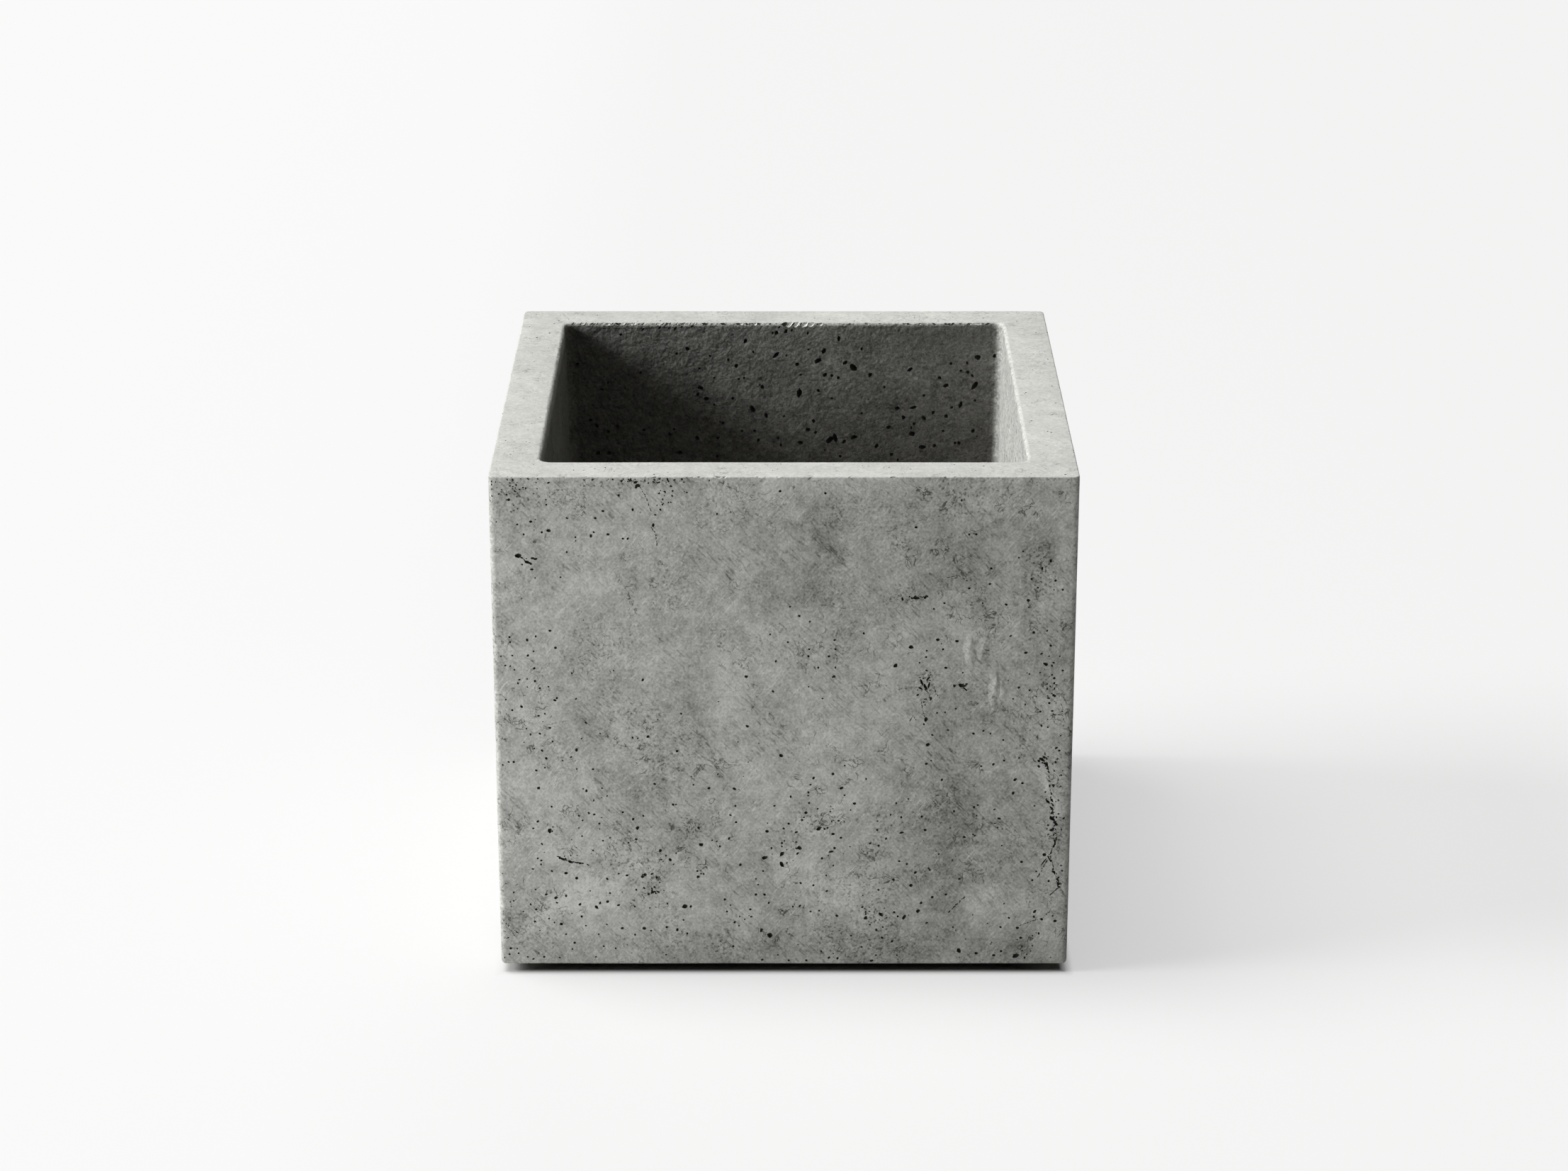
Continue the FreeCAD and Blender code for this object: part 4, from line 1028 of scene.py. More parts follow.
# How many times as high that relief is in the cavity
INSIDE_ROUGHNESS = 6.0

# Usual tone of the skin outside and in the cavity, the painted light that the lit inner wall adds, the rim's
# tone and share
SKIN_TONE = 0.64
INSIDE_TONE = 0.51
LIT_WALL_PAINTED_LIGHT = 0.26
RIM_TONE = 0.72
RIM_SHARE = 0.55
# What the finer marks change the tone by, and how far they stand out or lie in, in millimetres
STREAK_TONE = 0.16
SCUFF_TONE = 1.0
CRACK_TONE = -0.55
SPECK_TONE = -0.42
PINHOLE_TONE = -0.5
CRACK_HEIGHT = -0.2
PINHOLE_HEIGHT = -0.25
RIDGE_HEIGHT = 1.0

# How far the front's soft marks reach into the wall
MARK_DEPTH = 30 * MM
# How clouds and runs are pushed out of shape: grain and reach in millimetres
CLOUD_PUSH = (16, 26)
RUN_PUSH = (9, 8)

# Pinholes: cells that may hold one in millimetres, its edge by the cell, levels where a cell is chosen
PINHOLE_CELL = 3.4
PINHOLE_EDGE = (0.09, 0.16)
PINHOLE_LEVELS = (0.60, 0.70)
# Sand: grains and patches in millimetres, levels of noise where each sets in, share between the patches
SAND = 1.7
SAND_LEVELS = (0.52, 0.68)
SAND_PATCH = 36
SAND_PATCH_LEVELS = (0.48, 0.68)
SAND_LEAST = 0.12
# Runs of water: width, length and patches in millimetres, levels where the patches set in, shares there
STREAK_WIDTH = 3.2
STREAK_LENGTH = 38
STREAK_PATCH = 70
STREAK_LEVELS = (0.42, 0.62)
STREAK_SHARES = (0.1, 0.8)
# Scuffs: width, length and patches in millimetres, levels where a stroke sets in
SCUFF_WIDTH = 1.3
SCUFF_LENGTH = 9
SCUFF_PATCH = 48
SCUFF_LEVELS = (0.56, 0.72)
# Dark and pale scuffs: lean in degrees, shift, levels of the patches where they start and are full, strength
SCUFFS = ((-44, 0.37, 0.40, 0.62, -0.30), (38, 0.71, 0.60, 0.38, 0.26))
# Cracks: bends in millimetres, edge, and patches in millimetres with levels where cracks start and are full
CRACK_BEND = 7.5
CRACK_EDGE = (0.006, 0.026)
CRACK_PATCHES = ((11, 0.50, 0.60), (42, 0.44, 0.58))
# Grit in an open pore and sand on a fresh break: millimetres, levels where they set in, share, and rise
PORE_GRIT = 0.8
PORE_LEVELS = (0.3, 0.8)
PORE_SHARE = 0.30
BREAK_SAND = 1.1
BREAK_LEVELS = (0.45, 0.75)
BREAK_SHARE = 0.5
BREAK_RISE = 0.3

# Distances between which the finish of the cavity ends: out from its wall on the lip, down below its floor
INSIDE_LIP = (1.2 * MM, 3 * MM)
INSIDE_FLOOR = (4 * MM, 2 * MM)
# Distances from the lit inner wall between which its painted light sets in
LIT_WALL = (5 * MM, 1.5 * MM)
# Depths between which the rim turns pale
RIM_DEPTHS = (0.9 * MM, 0.35 * MM)
# Depths between which painted shade sets in within the cavity: at the lip, on shaded walls and on the lit
# wall
SHADE_LIP_DEPTHS = (0.3 * MM, 1.4 * MM)
SHADE_SHADED_DEPTHS = (3 * MM, 15 * MM)
SHADE_LIT_DEPTHS = (120 * MM, 200 * MM)
# Distances from the back wall between which its own painted shade takes over
SHADE_BACK_REACH = (18 * MM, 7 * MM)
# Painted shade of the back wall, where the left wall casts its shadow: slopes down from the left rim, and
# places to the right, between which it sets in
SHADE_SLOPES = (0.13, 0.72)
SHADE_RIGHT = (-20 * MM, 150 * MM)
SHADE_RIGHT_SHARE = 0.72


def layered_noise(tree, place, layers, unit, start):
    """Adds up layers of noise around a level: grain in millimetres, octaves, swirl and share in a unit."""
    level = start - unit * sum(layer[3] for layer in layers) / 2
    for grain, octaves, swirl, share in layers:
        cloud = add_node(tree, "ShaderNodeTexNoise",
                         {"Vector": place, "Scale": 1 / (grain * MM), "Detail": octaves, "Roughness": 0.6,
                          "Distortion": swirl})
        level = add_node(tree, "ShaderNodeMath", {0: cloud.outputs["Fac"], 1: share * unit, 2: level},
                         operation="MULTIPLY_ADD").outputs[0]
    return level


def soft_marks(tree, place, marks, level):
    """Adds soft marks of the front to a level: pixels, reach across and up, turn and change."""
    front = skin_panels(bpy.context.scene.planter_sizes)["front"]
    for across, down, reach_u, reach_v, turn, change in marks:
        mark = add_node(tree, "ShaderNodeTexGradient", {"Vector": place}, gradient_type="SPHERICAL")
        mark.texture_mapping.vector_type = "TEXTURE"
        mark.texture_mapping.translation = front.point(*front.seen_at(across, down))
        mark.texture_mapping.rotation = (0, -math.radians(turn), 0)
        mark.texture_mapping.scale = (reach_u * MM, MARK_DEPTH, reach_v * MM)
        level = add_node(tree, "ShaderNodeMath", {0: mark.outputs["Fac"], 1: change, 2: level},
                         operation="MULTIPLY_ADD").outputs[0]
    return level


def bent_place(tree, place, grain, reach):
    """Coordinates pushed about by noise, so that soft marks get uneven outlines."""
    push = add_node(tree, "ShaderNodeTexNoise", {"Vector": place, "Scale": 1 / (grain * MM), "Detail": 2.0})
    centred = add_node(tree, "ShaderNodeVectorMath", {0: push.outputs["Color"], 1: (0.5, 0.5, 0.5)},
                       operation="SUBTRACT")
    return add_node(tree, "ShaderNodeVectorMath",
                    {0: centred.outputs[0], 1: (reach * MM, reach * MM, reach * MM), 2: place},
                    operation="MULTIPLY_ADD").outputs[0]


def pinhole_mask(tree, place):
    """Round specks a few tenths of a millimetre wide, in about a third of the cells of a grid."""
    cells = add_node(tree, "ShaderNodeTexVoronoi", {"Vector": place, "Scale": 1 / (PINHOLE_CELL * MM)})
    holes = add_node(tree, "ShaderNodeMapRange",
                     {0: cells.outputs["Distance"], 1: PINHOLE_EDGE[0], 2: PINHOLE_EDGE[1], 3: 1.0, 4: 0.0})
    chosen = add_node(tree, "ShaderNodeMapRange",
                      {0: cells.outputs["Color"], 1: PINHOLE_LEVELS[0], 2: PINHOLE_LEVELS[1]})
    return add_node(tree, "ShaderNodeMath", {0: holes.outputs[0], 1: chosen.outputs[0]},
                    operation="MULTIPLY").outputs[0]


def speckle_mask(tree, place, bent):
    """Dark specks of sand that stand close together in patches."""
    patches = add_node(tree, "ShaderNodeTexNoise",
                       {"Vector": place, "Scale": 1 / (SAND_PATCH * MM), "Detail": 3.0})
    patchy = add_node(tree, "ShaderNodeMapRange",
                      {0: patches.outputs["Fac"], 1: SAND_PATCH_LEVELS[0], 2: SAND_PATCH_LEVELS[1],
                       3: SAND_LEAST})
    patchy = soft_marks(tree, bent, FRONT_SPECKLED, patchy.outputs[0])
    sand = add_node(tree, "ShaderNodeTexNoise", {"Vector": place, "Scale": 1 / (SAND * MM), "Detail": 2.0})
    specks = add_node(tree, "ShaderNodeMapRange",
                      {0: sand.outputs["Fac"], 1: SAND_LEVELS[0], 2: SAND_LEVELS[1]})
    return add_node(tree, "ShaderNodeMath", {0: specks.outputs[0], 1: patchy},
                    operation="MULTIPLY").outputs[0]


def streaks(tree, place):
    """Faint upright runs of water and lime."""
    across, along = 1 / (STREAK_WIDTH * MM), 1 / (STREAK_LENGTH * MM)
    drawn = add_node(tree, "ShaderNodeMapping", {"Vector": place, "Scale": (across, across, along)})
    runs = add_node(tree, "ShaderNodeTexNoise", {"Vector": drawn.outputs[0], "Scale": 1.0, "Detail": 2.0})
    where = add_node(tree, "ShaderNodeTexNoise",
                     {"Vector": place, "Scale": 1 / (STREAK_PATCH * MM), "Detail": 1.0})
    share = add_node(tree, "ShaderNodeMapRange",
                     {0: where.outputs["Fac"], 1: STREAK_LEVELS[0], 2: STREAK_LEVELS[1],
                      3: STREAK_SHARES[0], 4: STREAK_SHARES[1]})
    centred = add_node(tree, "ShaderNodeMath", {0: runs.outputs["Fac"], 1: 0.5}, operation="SUBTRACT")
    return add_node(tree, "ShaderNodeMath", {0: centred.outputs[0], 1: share.outputs[0]},
                    operation="MULTIPLY").outputs[0]


def scuffs(tree, place):
    """Fine slanting strokes in patches: dark where grit was dragged, pale where the skin was rubbed."""
    patches = add_node(tree, "ShaderNodeTexNoise",
                       {"Vector": place, "Scale": 1 / (SCUFF_PATCH * MM), "Detail": 2.0})
    level = 0.0
    for lean, shift, low, high, strength in SCUFFS:
        drawn = add_node(tree, "ShaderNodeMapping",
                         {"Vector": place, "Location": (shift, shift, shift),
                          "Rotation": (0, math.radians(lean), 0),
                          "Scale": (SCUFF_WIDTH * MM, SCUFF_WIDTH * MM, SCUFF_LENGTH * MM)},
                         vector_type="TEXTURE")
        strokes = add_node(tree, "ShaderNodeTexNoise",
                           {"Vector": drawn.outputs[0], "Scale": 1.0, "Detail": 1.0})
        chosen = add_node(tree, "ShaderNodeMapRange",
                          {0: strokes.outputs["Fac"], 1: SCUFF_LEVELS[0], 2: SCUFF_LEVELS[1]})
        where = add_node(tree, "ShaderNodeMapRange",
                         {0: patches.outputs["Fac"], 1: low, 2: high, 4: strength})
        level = add_node(tree, "ShaderNodeMath", {0: chosen.outputs[0], 1: where.outputs[0], 2: level},
                         operation="MULTIPLY_ADD").outputs[0]
    return level


def hairlines(tree, place):
    """Short curving cracks under a millimetre wide, which keep to rough patches."""
    bends = add_node(tree, "ShaderNodeTexNoise",
                     {"Vector": place, "Scale": 1 / (CRACK_BEND * MM), "Detail": 3.0, "Distortion": 0.8})
    off = add_node(tree, "ShaderNodeMath", {0: bends.outputs["Fac"], 1: 0.5}, operation="SUBTRACT")
    off = add_node(tree, "ShaderNodeMath", {0: off.outputs[0]}, operation="ABSOLUTE")
    mask = add_node(tree, "ShaderNodeMapRange",
                    {0: off.outputs[0], 1: CRACK_EDGE[0], 2: CRACK_EDGE[1], 3: 1.0, 4: 0.0}).outputs[0]
    for grain, low, high in CRACK_PATCHES:
        part = add_node(tree, "ShaderNodeTexNoise",
                        {"Vector": place, "Scale": 1 / (grain * MM), "Detail": 2.0})
        gate = add_node(tree, "ShaderNodeMapRange", {0: part.outputs["Fac"], 1: low, 2: high})
        mask = add_node(tree, "ShaderNodeMath", {0: mask, 1: gate.outputs[0]},
                        operation="MULTIPLY").outputs[0]
    return mask


def inside_mask(tree, place, sizes):
    """1 on the walls and the floor of the cavity, 0 on the rim and outside."""
    parts = add_node(tree, "ShaderNodeSeparateXYZ", {"Vector": place})
    out_x = add_node(tree, "ShaderNodeMath", {0: parts.outputs["X"]}, operation="ABSOLUTE")
    out_y = add_node(tree, "ShaderNodeMath", {0: parts.outputs["Y"]}, operation="ABSOLUTE")
    reach = add_node(tree, "ShaderNodeMath", {0: out_x.outputs[0], 1: out_y.outputs[0]}, operation="MAXIMUM")
    wall = HALF_WIDTH - sizes.rim_wall
    near = add_node(tree, "ShaderNodeMapRange",
                    {0: reach.outputs[0], 1: wall + INSIDE_LIP[0], 2: wall + INSIDE_LIP[1], 3: 1.0, 4: 0.0})
    above = add_node(tree, "ShaderNodeMapRange",
                     {0: parts.outputs["Z"], 1: FLOOR_Z - INSIDE_FLOOR[0], 2: FLOOR_Z - INSIDE_FLOOR[1]})
    return add_node(tree, "ShaderNodeMath", {0: near.outputs[0], 1: above.outputs[0]},
                    operation="MULTIPLY").outputs[0]


def lit_wall_mask(tree, place, sizes):
    """1 on the cavity's wall that faces the light, whose tone is raised there as painted light, changing to
    0 within its two corners.
    """
    parts = add_node(tree, "ShaderNodeSeparateXYZ", {"Vector": place})
    lean = math.tan(sizes.core_draft)
    upright = add_node(tree, "ShaderNodeMath", {0: parts.outputs["Z"], 1: -lean, 2: parts.outputs["X"]},
                       operation="MULTIPLY_ADD").outputs[0]
    wall = HALF_WIDTH - sizes.rim_wall - lean * RIM_Z
    return add_node(tree, "ShaderNodeMapRange",
                    {0: upright, 1: wall - LIT_WALL[0], 2: wall - LIT_WALL[1]}).outputs[0]


def cavity_painted_shade(tree, place, inside, lit, sizes):
    """From 0 to 1: painted shade in the cavity, which deepens from the rim down and most where the left wall
    casts its shadow on the back wall.
    """
    parts = add_node(tree, "ShaderNodeSeparateXYZ", {"Vector": place})
    wall = HALF_WIDTH - sizes.rim_wall
    depth = add_node(tree, "ShaderNodeMath", {0: RIM_Z, 1: parts.outputs["Z"]},
                     operation="SUBTRACT").outputs[0]
    away = add_node(tree, "ShaderNodeMath", {0: parts.outputs["X"], 1: wall + MM},
                    operation="ADD").outputs[0]
    slope = add_node(tree, "ShaderNodeMath", {0: depth, 1: away}, operation="DIVIDE").outputs[0]
    near_back = (wall - SHADE_BACK_REACH[0], wall - SHADE_BACK_REACH[1])
    right, sloping, at_back, shaded, sunny, below_lip = [
        add_node(tree, "ShaderNodeMapRange", {0: level, 1: start, 2: end}).outputs[0]
        for level, (start, end) in (
            (parts.outputs["X"], SHADE_RIGHT), (slope, SHADE_SLOPES), (parts.outputs["Y"], near_back),
            (depth, SHADE_SHADED_DEPTHS), (depth, SHADE_LIT_DEPTHS), (depth, SHADE_LIP_DEPTHS))]
    back = add_node(tree, "ShaderNodeMath", {0: right, 1: SHADE_RIGHT_SHARE, 2: sloping},
                    operation="MULTIPLY_ADD", use_clamp=True).outputs[0]
    painted_shade = add_node(tree, "ShaderNodeMix", {0: at_back, 2: shaded, 3: back}, data_type="FLOAT").outputs[0]
    painted_shade = add_node(tree, "ShaderNodeMix", {0: lit, 2: painted_shade, 3: sunny}, data_type="FLOAT").outputs[0]
    for mask in (below_lip, inside):
        painted_shade = add_node(tree, "ShaderNodeMath", {0: painted_shade, 1: mask}, operation="MULTIPLY").outputs[0]
    return painted_shade


def rough_share(tree, bent, inside):
    """Share of cracks and specks: none in the cavity and few on the smooth stretch of the front."""
    outside = add_node(tree, "ShaderNodeMath", {0: 1.0, 1: inside}, operation="SUBTRACT").outputs[0]
    return soft_marks(tree, bent, FRONT_SMOOTH, outside)


def skin_tone(tree, place, bent, masks):
    """Tone of the outside, from 0 for bare cement to 1 for lime bloom, with masks and what they change."""
    tone = layered_noise(tree, place, CONCRETE_TONES, 1.0, SKIN_TONE)
    tone = soft_marks(tree, bent, FRONT_CLOUDS, tone)
    tone = soft_marks(tree, bent_place(tree, place, *RUN_PUSH), FRONT_RUN_LIGHT_AND_SHADE, tone)
    tone = soft_marks(tree, place, FRONT_SCRATCHES, tone)
    for mask, change in masks:
        tone = add_node(tree, "ShaderNodeMath", {0: mask, 1: change, 2: tone},
                        operation="MULTIPLY_ADD").outputs[0]
    return tone


def with_cavity_and_rim(tree, place, tone, inside, lit):
    """Puts the cavity's own tone, with painted light on its lit wall, and that of the paler rim into the
    tone of the outside.
    """
    within = layered_noise(tree, place, INSIDE_TONES, 1.0, INSIDE_TONE)
    within = add_node(tree, "ShaderNodeMath", {0: lit, 1: LIT_WALL_PAINTED_LIGHT, 2: within},
                      operation="MULTIPLY_ADD").outputs[0]
    tone = add_node(tree, "ShaderNodeMix", {0: inside, 2: tone, 3: within}, data_type="FLOAT").outputs[0]
    height = add_node(tree, "ShaderNodeSeparateXYZ", {"Vector": place}).outputs["Z"]
    rim = add_node(tree, "ShaderNodeMapRange",
                   {0: height, 1: RIM_Z - RIM_DEPTHS[0], 2: RIM_Z - RIM_DEPTHS[1], 4: RIM_SHARE})
    return add_node(tree, "ShaderNodeMix", {0: rim.outputs[0], 2: tone, 3: RIM_TONE},
                    data_type="FLOAT").outputs[0]


def skin_relief(tree, place, inside, masks):
    """Height of the skin in metres: swells, rougher in the cavity, and masks with their heights."""
    swell = layered_noise(tree, place, CONCRETE_RELIEF, MM, 0.0)
    rougher = add_node(tree, "ShaderNodeMapRange", {0: inside, 3: 1.0, 4: INSIDE_ROUGHNESS}).outputs[0]
    height = add_node(tree, "ShaderNodeMath", {0: swell, 1: rougher}, operation="MULTIPLY").outputs[0]
    for mask, rise in masks:
        height = add_node(tree, "ShaderNodeMath", {0: mask, 1: rise * MM, 2: height},
                          operation="MULTIPLY_ADD").outputs[0]
    return height


def cast_concrete(sizes, colours):
    """Portland cement concrete, cast against a smooth mould and left bare.

    It gives a matt, cloudy grey with pale lime bloom, dark sand, pinholes and a faint uneven relief.
    """
    material, tree, shader, place = new_material("concrete_cast_smooth", Roughness=0.92, IOR=1.45,
                                                 **{"Specular IOR Level": 0.2})
    bent = bent_place(tree, place, *CLOUD_PUSH)
    inside = inside_mask(tree, place, sizes)
    rough = rough_share(tree, bent, inside)
    cracks, pinholes, specks = [
        add_node(tree, "ShaderNodeMath", {0: mask, 1: rough}, operation="MULTIPLY").outputs[0]
        for mask in (hairlines(tree, place), pinhole_mask(tree, place), speckle_mask(tree, place, bent))]
    tone = skin_tone(tree, place, bent, (
        (streaks(tree, place), STREAK_TONE), (scuffs(tree, place), SCUFF_TONE), (cracks, CRACK_TONE),
        (specks, SPECK_TONE), (pinholes, PINHOLE_TONE)))
    lit = lit_wall_mask(tree, place, sizes)
    tone = with_cavity_and_rim(tree, place, tone, inside, lit)
    colour = add_node(tree, "ShaderNodeMix", {0: tone, 6: colours.concrete_dark, 7: colours.concrete_pale},
                      data_type="RGBA").outputs[2]
    # Painted shade darkens the cavity's walls, most in the left wall's shadow on the back wall
    colour = add_node(tree, "ShaderNodeMix",
                      {0: cavity_painted_shade(tree, place, inside, lit, sizes), 6: colour, 7: colours.concrete_painted_shade},
                      data_type="RGBA", blend_type="MULTIPLY").outputs[2]
    tree.links.new(colour, shader.inputs["Base Color"])
    ridges = soft_marks(tree, bent_place(tree, place, *RUN_PUSH), FRONT_RIDGES, 0.0)
    relief = skin_relief(tree, place, inside, (
        (pinholes, PINHOLE_HEIGHT), (cracks, CRACK_HEIGHT), (ridges, RIDGE_HEIGHT)))
    bump = add_node(tree, "ShaderNodeBump", {"Strength": 1.0, "Distance": 1.0, "Height": relief})
    tree.links.new(bump.outputs["Normal"], shader.inputs["Normal"])
    return material


def pore_painted_shade(colours):
    """Inside of an air pore in the same concrete: rough, flecked with grit, and dark with painted shade in
    the hollow.
    """
    material, tree, shader, place = new_material("concrete_pore_painted_shade", Roughness=1.0, IOR=1.45)
    grit = add_node(tree, "ShaderNodeTexNoise",
                    {"Vector": place, "Scale": 1 / (PORE_GRIT * MM), "Detail": 2.0})
    share = add_node(tree, "ShaderNodeMapRange",
                     {0: grit.outputs["Fac"], 1: PORE_LEVELS[0], 2: PORE_LEVELS[1], 4: PORE_SHARE})
    colour = add_node(tree, "ShaderNodeMix",
                      {0: share.outputs[0], 6: colours.pore, 7: colours.concrete_dark},
                      data_type="RGBA").outputs[2]
    tree.links.new(colour, shader.inputs["Base Color"])
    return material


def fresh_break(colours):
    """The same concrete where a chip has broken off: dry, pale and sandy."""
    material, tree, shader, place = new_material("concrete_fresh_break", Roughness=1.0, IOR=1.45)
    sand = add_node(tree, "ShaderNodeTexNoise",
                    {"Vector": place, "Scale": 1 / (BREAK_SAND * MM), "Detail": 2.0})
    share = add_node(tree, "ShaderNodeMapRange",
                     {0: sand.outputs["Fac"], 1: BREAK_LEVELS[0], 2: BREAK_LEVELS[1], 4: BREAK_SHARE})
    colour = add_node(tree, "ShaderNodeMix",
                      {0: share.outputs[0], 6: colours.fresh_break, 7: colours.concrete_dark},
                      data_type="RGBA").outputs[2]
    tree.links.new(colour, shader.inputs["Base Color"])
    bump = add_node(tree, "ShaderNodeBump", {"Distance": BREAK_RISE * MM, "Height": sand.outputs["Fac"]})
    tree.links.new(bump.outputs["Normal"], shader.inputs["Normal"])
    return material


# Grained materials: patches by the grain, levels where the second colour sets in, swing of the roughness
BROAD_PATCH = 12
SPECK_LEVELS = (0.15, 0.4)
GLOSS_SWING = 0.08


def plain_grained(name, base, speck, grain, rise, roughness, metallic=0.0):
    """A material with fine specks of a second colour, uneven gloss and a fine relief.

    The grain and the rise of its relief are in millimetres.
    """
    material, tree, shader, place = new_material(name, Metallic=metallic)
    fine = add_node(tree, "ShaderNodeTexNoise",
                    {"Vector": place, "Scale": 1 / (grain * MM), "Detail": 3.0, "Roughness": 0.6})
    broad = add_node(tree, "ShaderNodeTexNoise",
                     {"Vector": place, "Scale": 1 / (BROAD_PATCH * grain * MM), "Detail": 2.0,
                      "Roughness": 0.5})
    both = add_node(tree, "ShaderNodeMath", {0: fine.outputs["Fac"], 1: broad.outputs["Fac"]},
                    operation="MULTIPLY").outputs[0]
    share = add_node(tree, "ShaderNodeMapRange",
                     {0: both, 1: SPECK_LEVELS[0], 2: SPECK_LEVELS[1]}).outputs[0]
    colour = add_node(tree, "ShaderNodeMix", {0: share, 6: base, 7: speck}, data_type="RGBA").outputs[2]
    gloss = add_node(tree, "ShaderNodeMapRange",
                     {0: share, 3: roughness - GLOSS_SWING, 4: roughness + GLOSS_SWING}).outputs[0]
    bump = add_node(tree, "ShaderNodeBump", {"Distance": rise * MM, "Height": fine.outputs["Fac"]})
    tree.links.new(colour, shader.inputs["Base Color"])
    tree.links.new(gloss, shader.inputs["Roughness"])
    tree.links.new(bump.outputs["Normal"], shader.inputs["Normal"])
    return material


def galvanised_wire(colours):
    """Hot-dip galvanised steel wire: dull silver with a mottled bloom."""
    return plain_grained("steel_wire_galvanised", colours.wire, colours.wire_bloom, grain=1.5, rise=0.03,
                         roughness=0.45, metallic=1.0)


def moulded_pvc(colours):
    """Rigid PVC, injection moulded: even grey with a satin, slightly dusty face."""
    return plain_grained("pvc_moulded_grey", colours.sleeve, colours.sleeve_dust, grain=1.2, rise=0.02,
                         roughness=0.42)


def moulded_polypropylene(colours):
    """Polypropylene, injection moulded: dark, waxy and finely spark-eroded."""
    return plain_grained("polypropylene_moulded", colours.screen, colours.screen_dust, grain=0.9, rise=0.03,
                         roughness=0.5)


def plug_rubber(colours):
    """Natural rubber, compression moulded: near black, matt, with a grey dusting."""
    return plain_grained("rubber_moulded_plug", colours.rubber, colours.rubber_dust, grain=1.6, rise=0.03,
                         roughness=0.68)


def foot_rubber(colours):
    """Rubber, compression moulded and scuffed: near black with a worn grey bloom."""
    return plain_grained("rubber_moulded_foot", colours.rubber, colours.rubber_worn, grain=2.0, rise=0.05,
                         roughness=0.78)


def zinc_plated_steel(colours):
    """Zinc-plated steel: bright, slightly blue, with a fine crystalline mottle."""
    return plain_grained("steel_zinc_plated", colours.zinc, colours.zinc_mottle, grain=0.7, rise=0.01,
                         roughness=0.32, metallic=1.0)


def dress(nodes, material):
    """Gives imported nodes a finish."""
    for name in nodes:
        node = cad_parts[name]
        node.data.materials.clear()
        node.data.materials.append(material)


class PLANTER_OT_concrete_tub(bpy.types.Operator):
    """Models the cast tub with its pores and shows it in place of the plain node"""
    bl_idname = "planter.concrete_tub"
    bl_label = "Concrete tub"

    def execute(self, context):
        sizes = context.scene.planter_sizes
        colours = context.scene.planter_colours
        rng = random.Random(sizes.seed)
        tub = new_piece("cast_tub", cast_block(sizes),
                        [cast_concrete(sizes, colours), pore_painted_shade(colours), fresh_break(colours)])
        carve(tub, fitting_cutters(sizes))
        shapes = pit_shapes(rng)
        for group in rounds_without_contact(tub_pits(sizes, rng)):
            carve(tub, pit_cutters(group, shapes, rng))
        for mesh in shapes[COARSE_BALLS] + shapes[FINE_BALLS]:
            bpy.data.meshes.remove(mesh)
        tub.data.shade_smooth()
        tub.data.set_sharp_from_angle(angle=SMOOTH_ANGLE)
        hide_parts("concrete_tub")
        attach(tub, "tub")
        return {"FINISHED"}


class PLANTER_OT_wire_cage(bpy.types.Operator):
    """Finishes the reinforcing wires that are cast into the tub"""
    bl_idname = "planter.wire_cage"
    bl_label = "Wire cage"

    def execute(self, context):
        colours = context.scene.planter_colours
        wires = [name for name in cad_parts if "hoop" in name or "bar" in name]
        dress(wires, galvanised_wire(colours))
        return {"FINISHED"}


class PLANTER_OT_drain(bpy.types.Operator):
    """Finishes the drain's sleeve, screen and plug"""
    bl_idname = "planter.drain"
    bl_label = "Drain"

    def execute(self, context):
        colours = context.scene.planter_colours
        dress(["drain_sleeve"], moulded_pvc(colours))
        dress(["drain_screen"], moulded_polypropylene(colours))
        dress(["drain_plug"], plug_rubber(colours))
        return {"FINISHED"}


class PLANTER_OT_feet(bpy.types.Operator):
    """Finishes the feet and what holds them on"""
    bl_idname = "planter.feet"
    bl_label = "Feet"

    def execute(self, context):
        colours = context.scene.planter_colours
        dress(FEET, foot_rubber(colours))
        dress(["foot_sockets", "foot_washers", "foot_screws"], zinc_plated_steel(colours))
        return {"FINISHED"}


# The floor and the lamps, in metres, and sides of the floor's circle
FLOOR_RADIUS = 14.0
FLOOR_SIDES = 96
LAMP_DISTANCE = 3.0
# Distances from the tub's outside between which the floor below it turns dark with painted shadow: at its
# sides, front and back
GAP_SIDES = (-40 * MM, -5 * MM)
GAP_ENDS = (-12 * MM, 3 * MM)
# Distances from the tub's outside, and places across the floor, between which the share of white changes
WHITE_EDGE = (-5 * MM, 5 * MM)
WHITE_SPAN = (-0.35, -0.15)
# Places across the floor between which the white falls off, and its strength there
FALL_SPAN = (-0.7, 0.7)
FALL = (0.995, 0.945)


def seen_directly(tree):
    """1 for what the camera sees, also in a mirror or through glass, and 0 for light on the object."""
    rays = add_node(tree, "ShaderNodeLightPath", {})
    seen = rays.outputs["Is Camera Ray"]
    for way in ("Is Glossy Ray", "Is Transmission Ray"):
        seen = add_node(tree, "ShaderNodeMath", {0: seen, 1: rays.outputs[way]},
                        operation="MAXIMUM").outputs[0]
    return seen


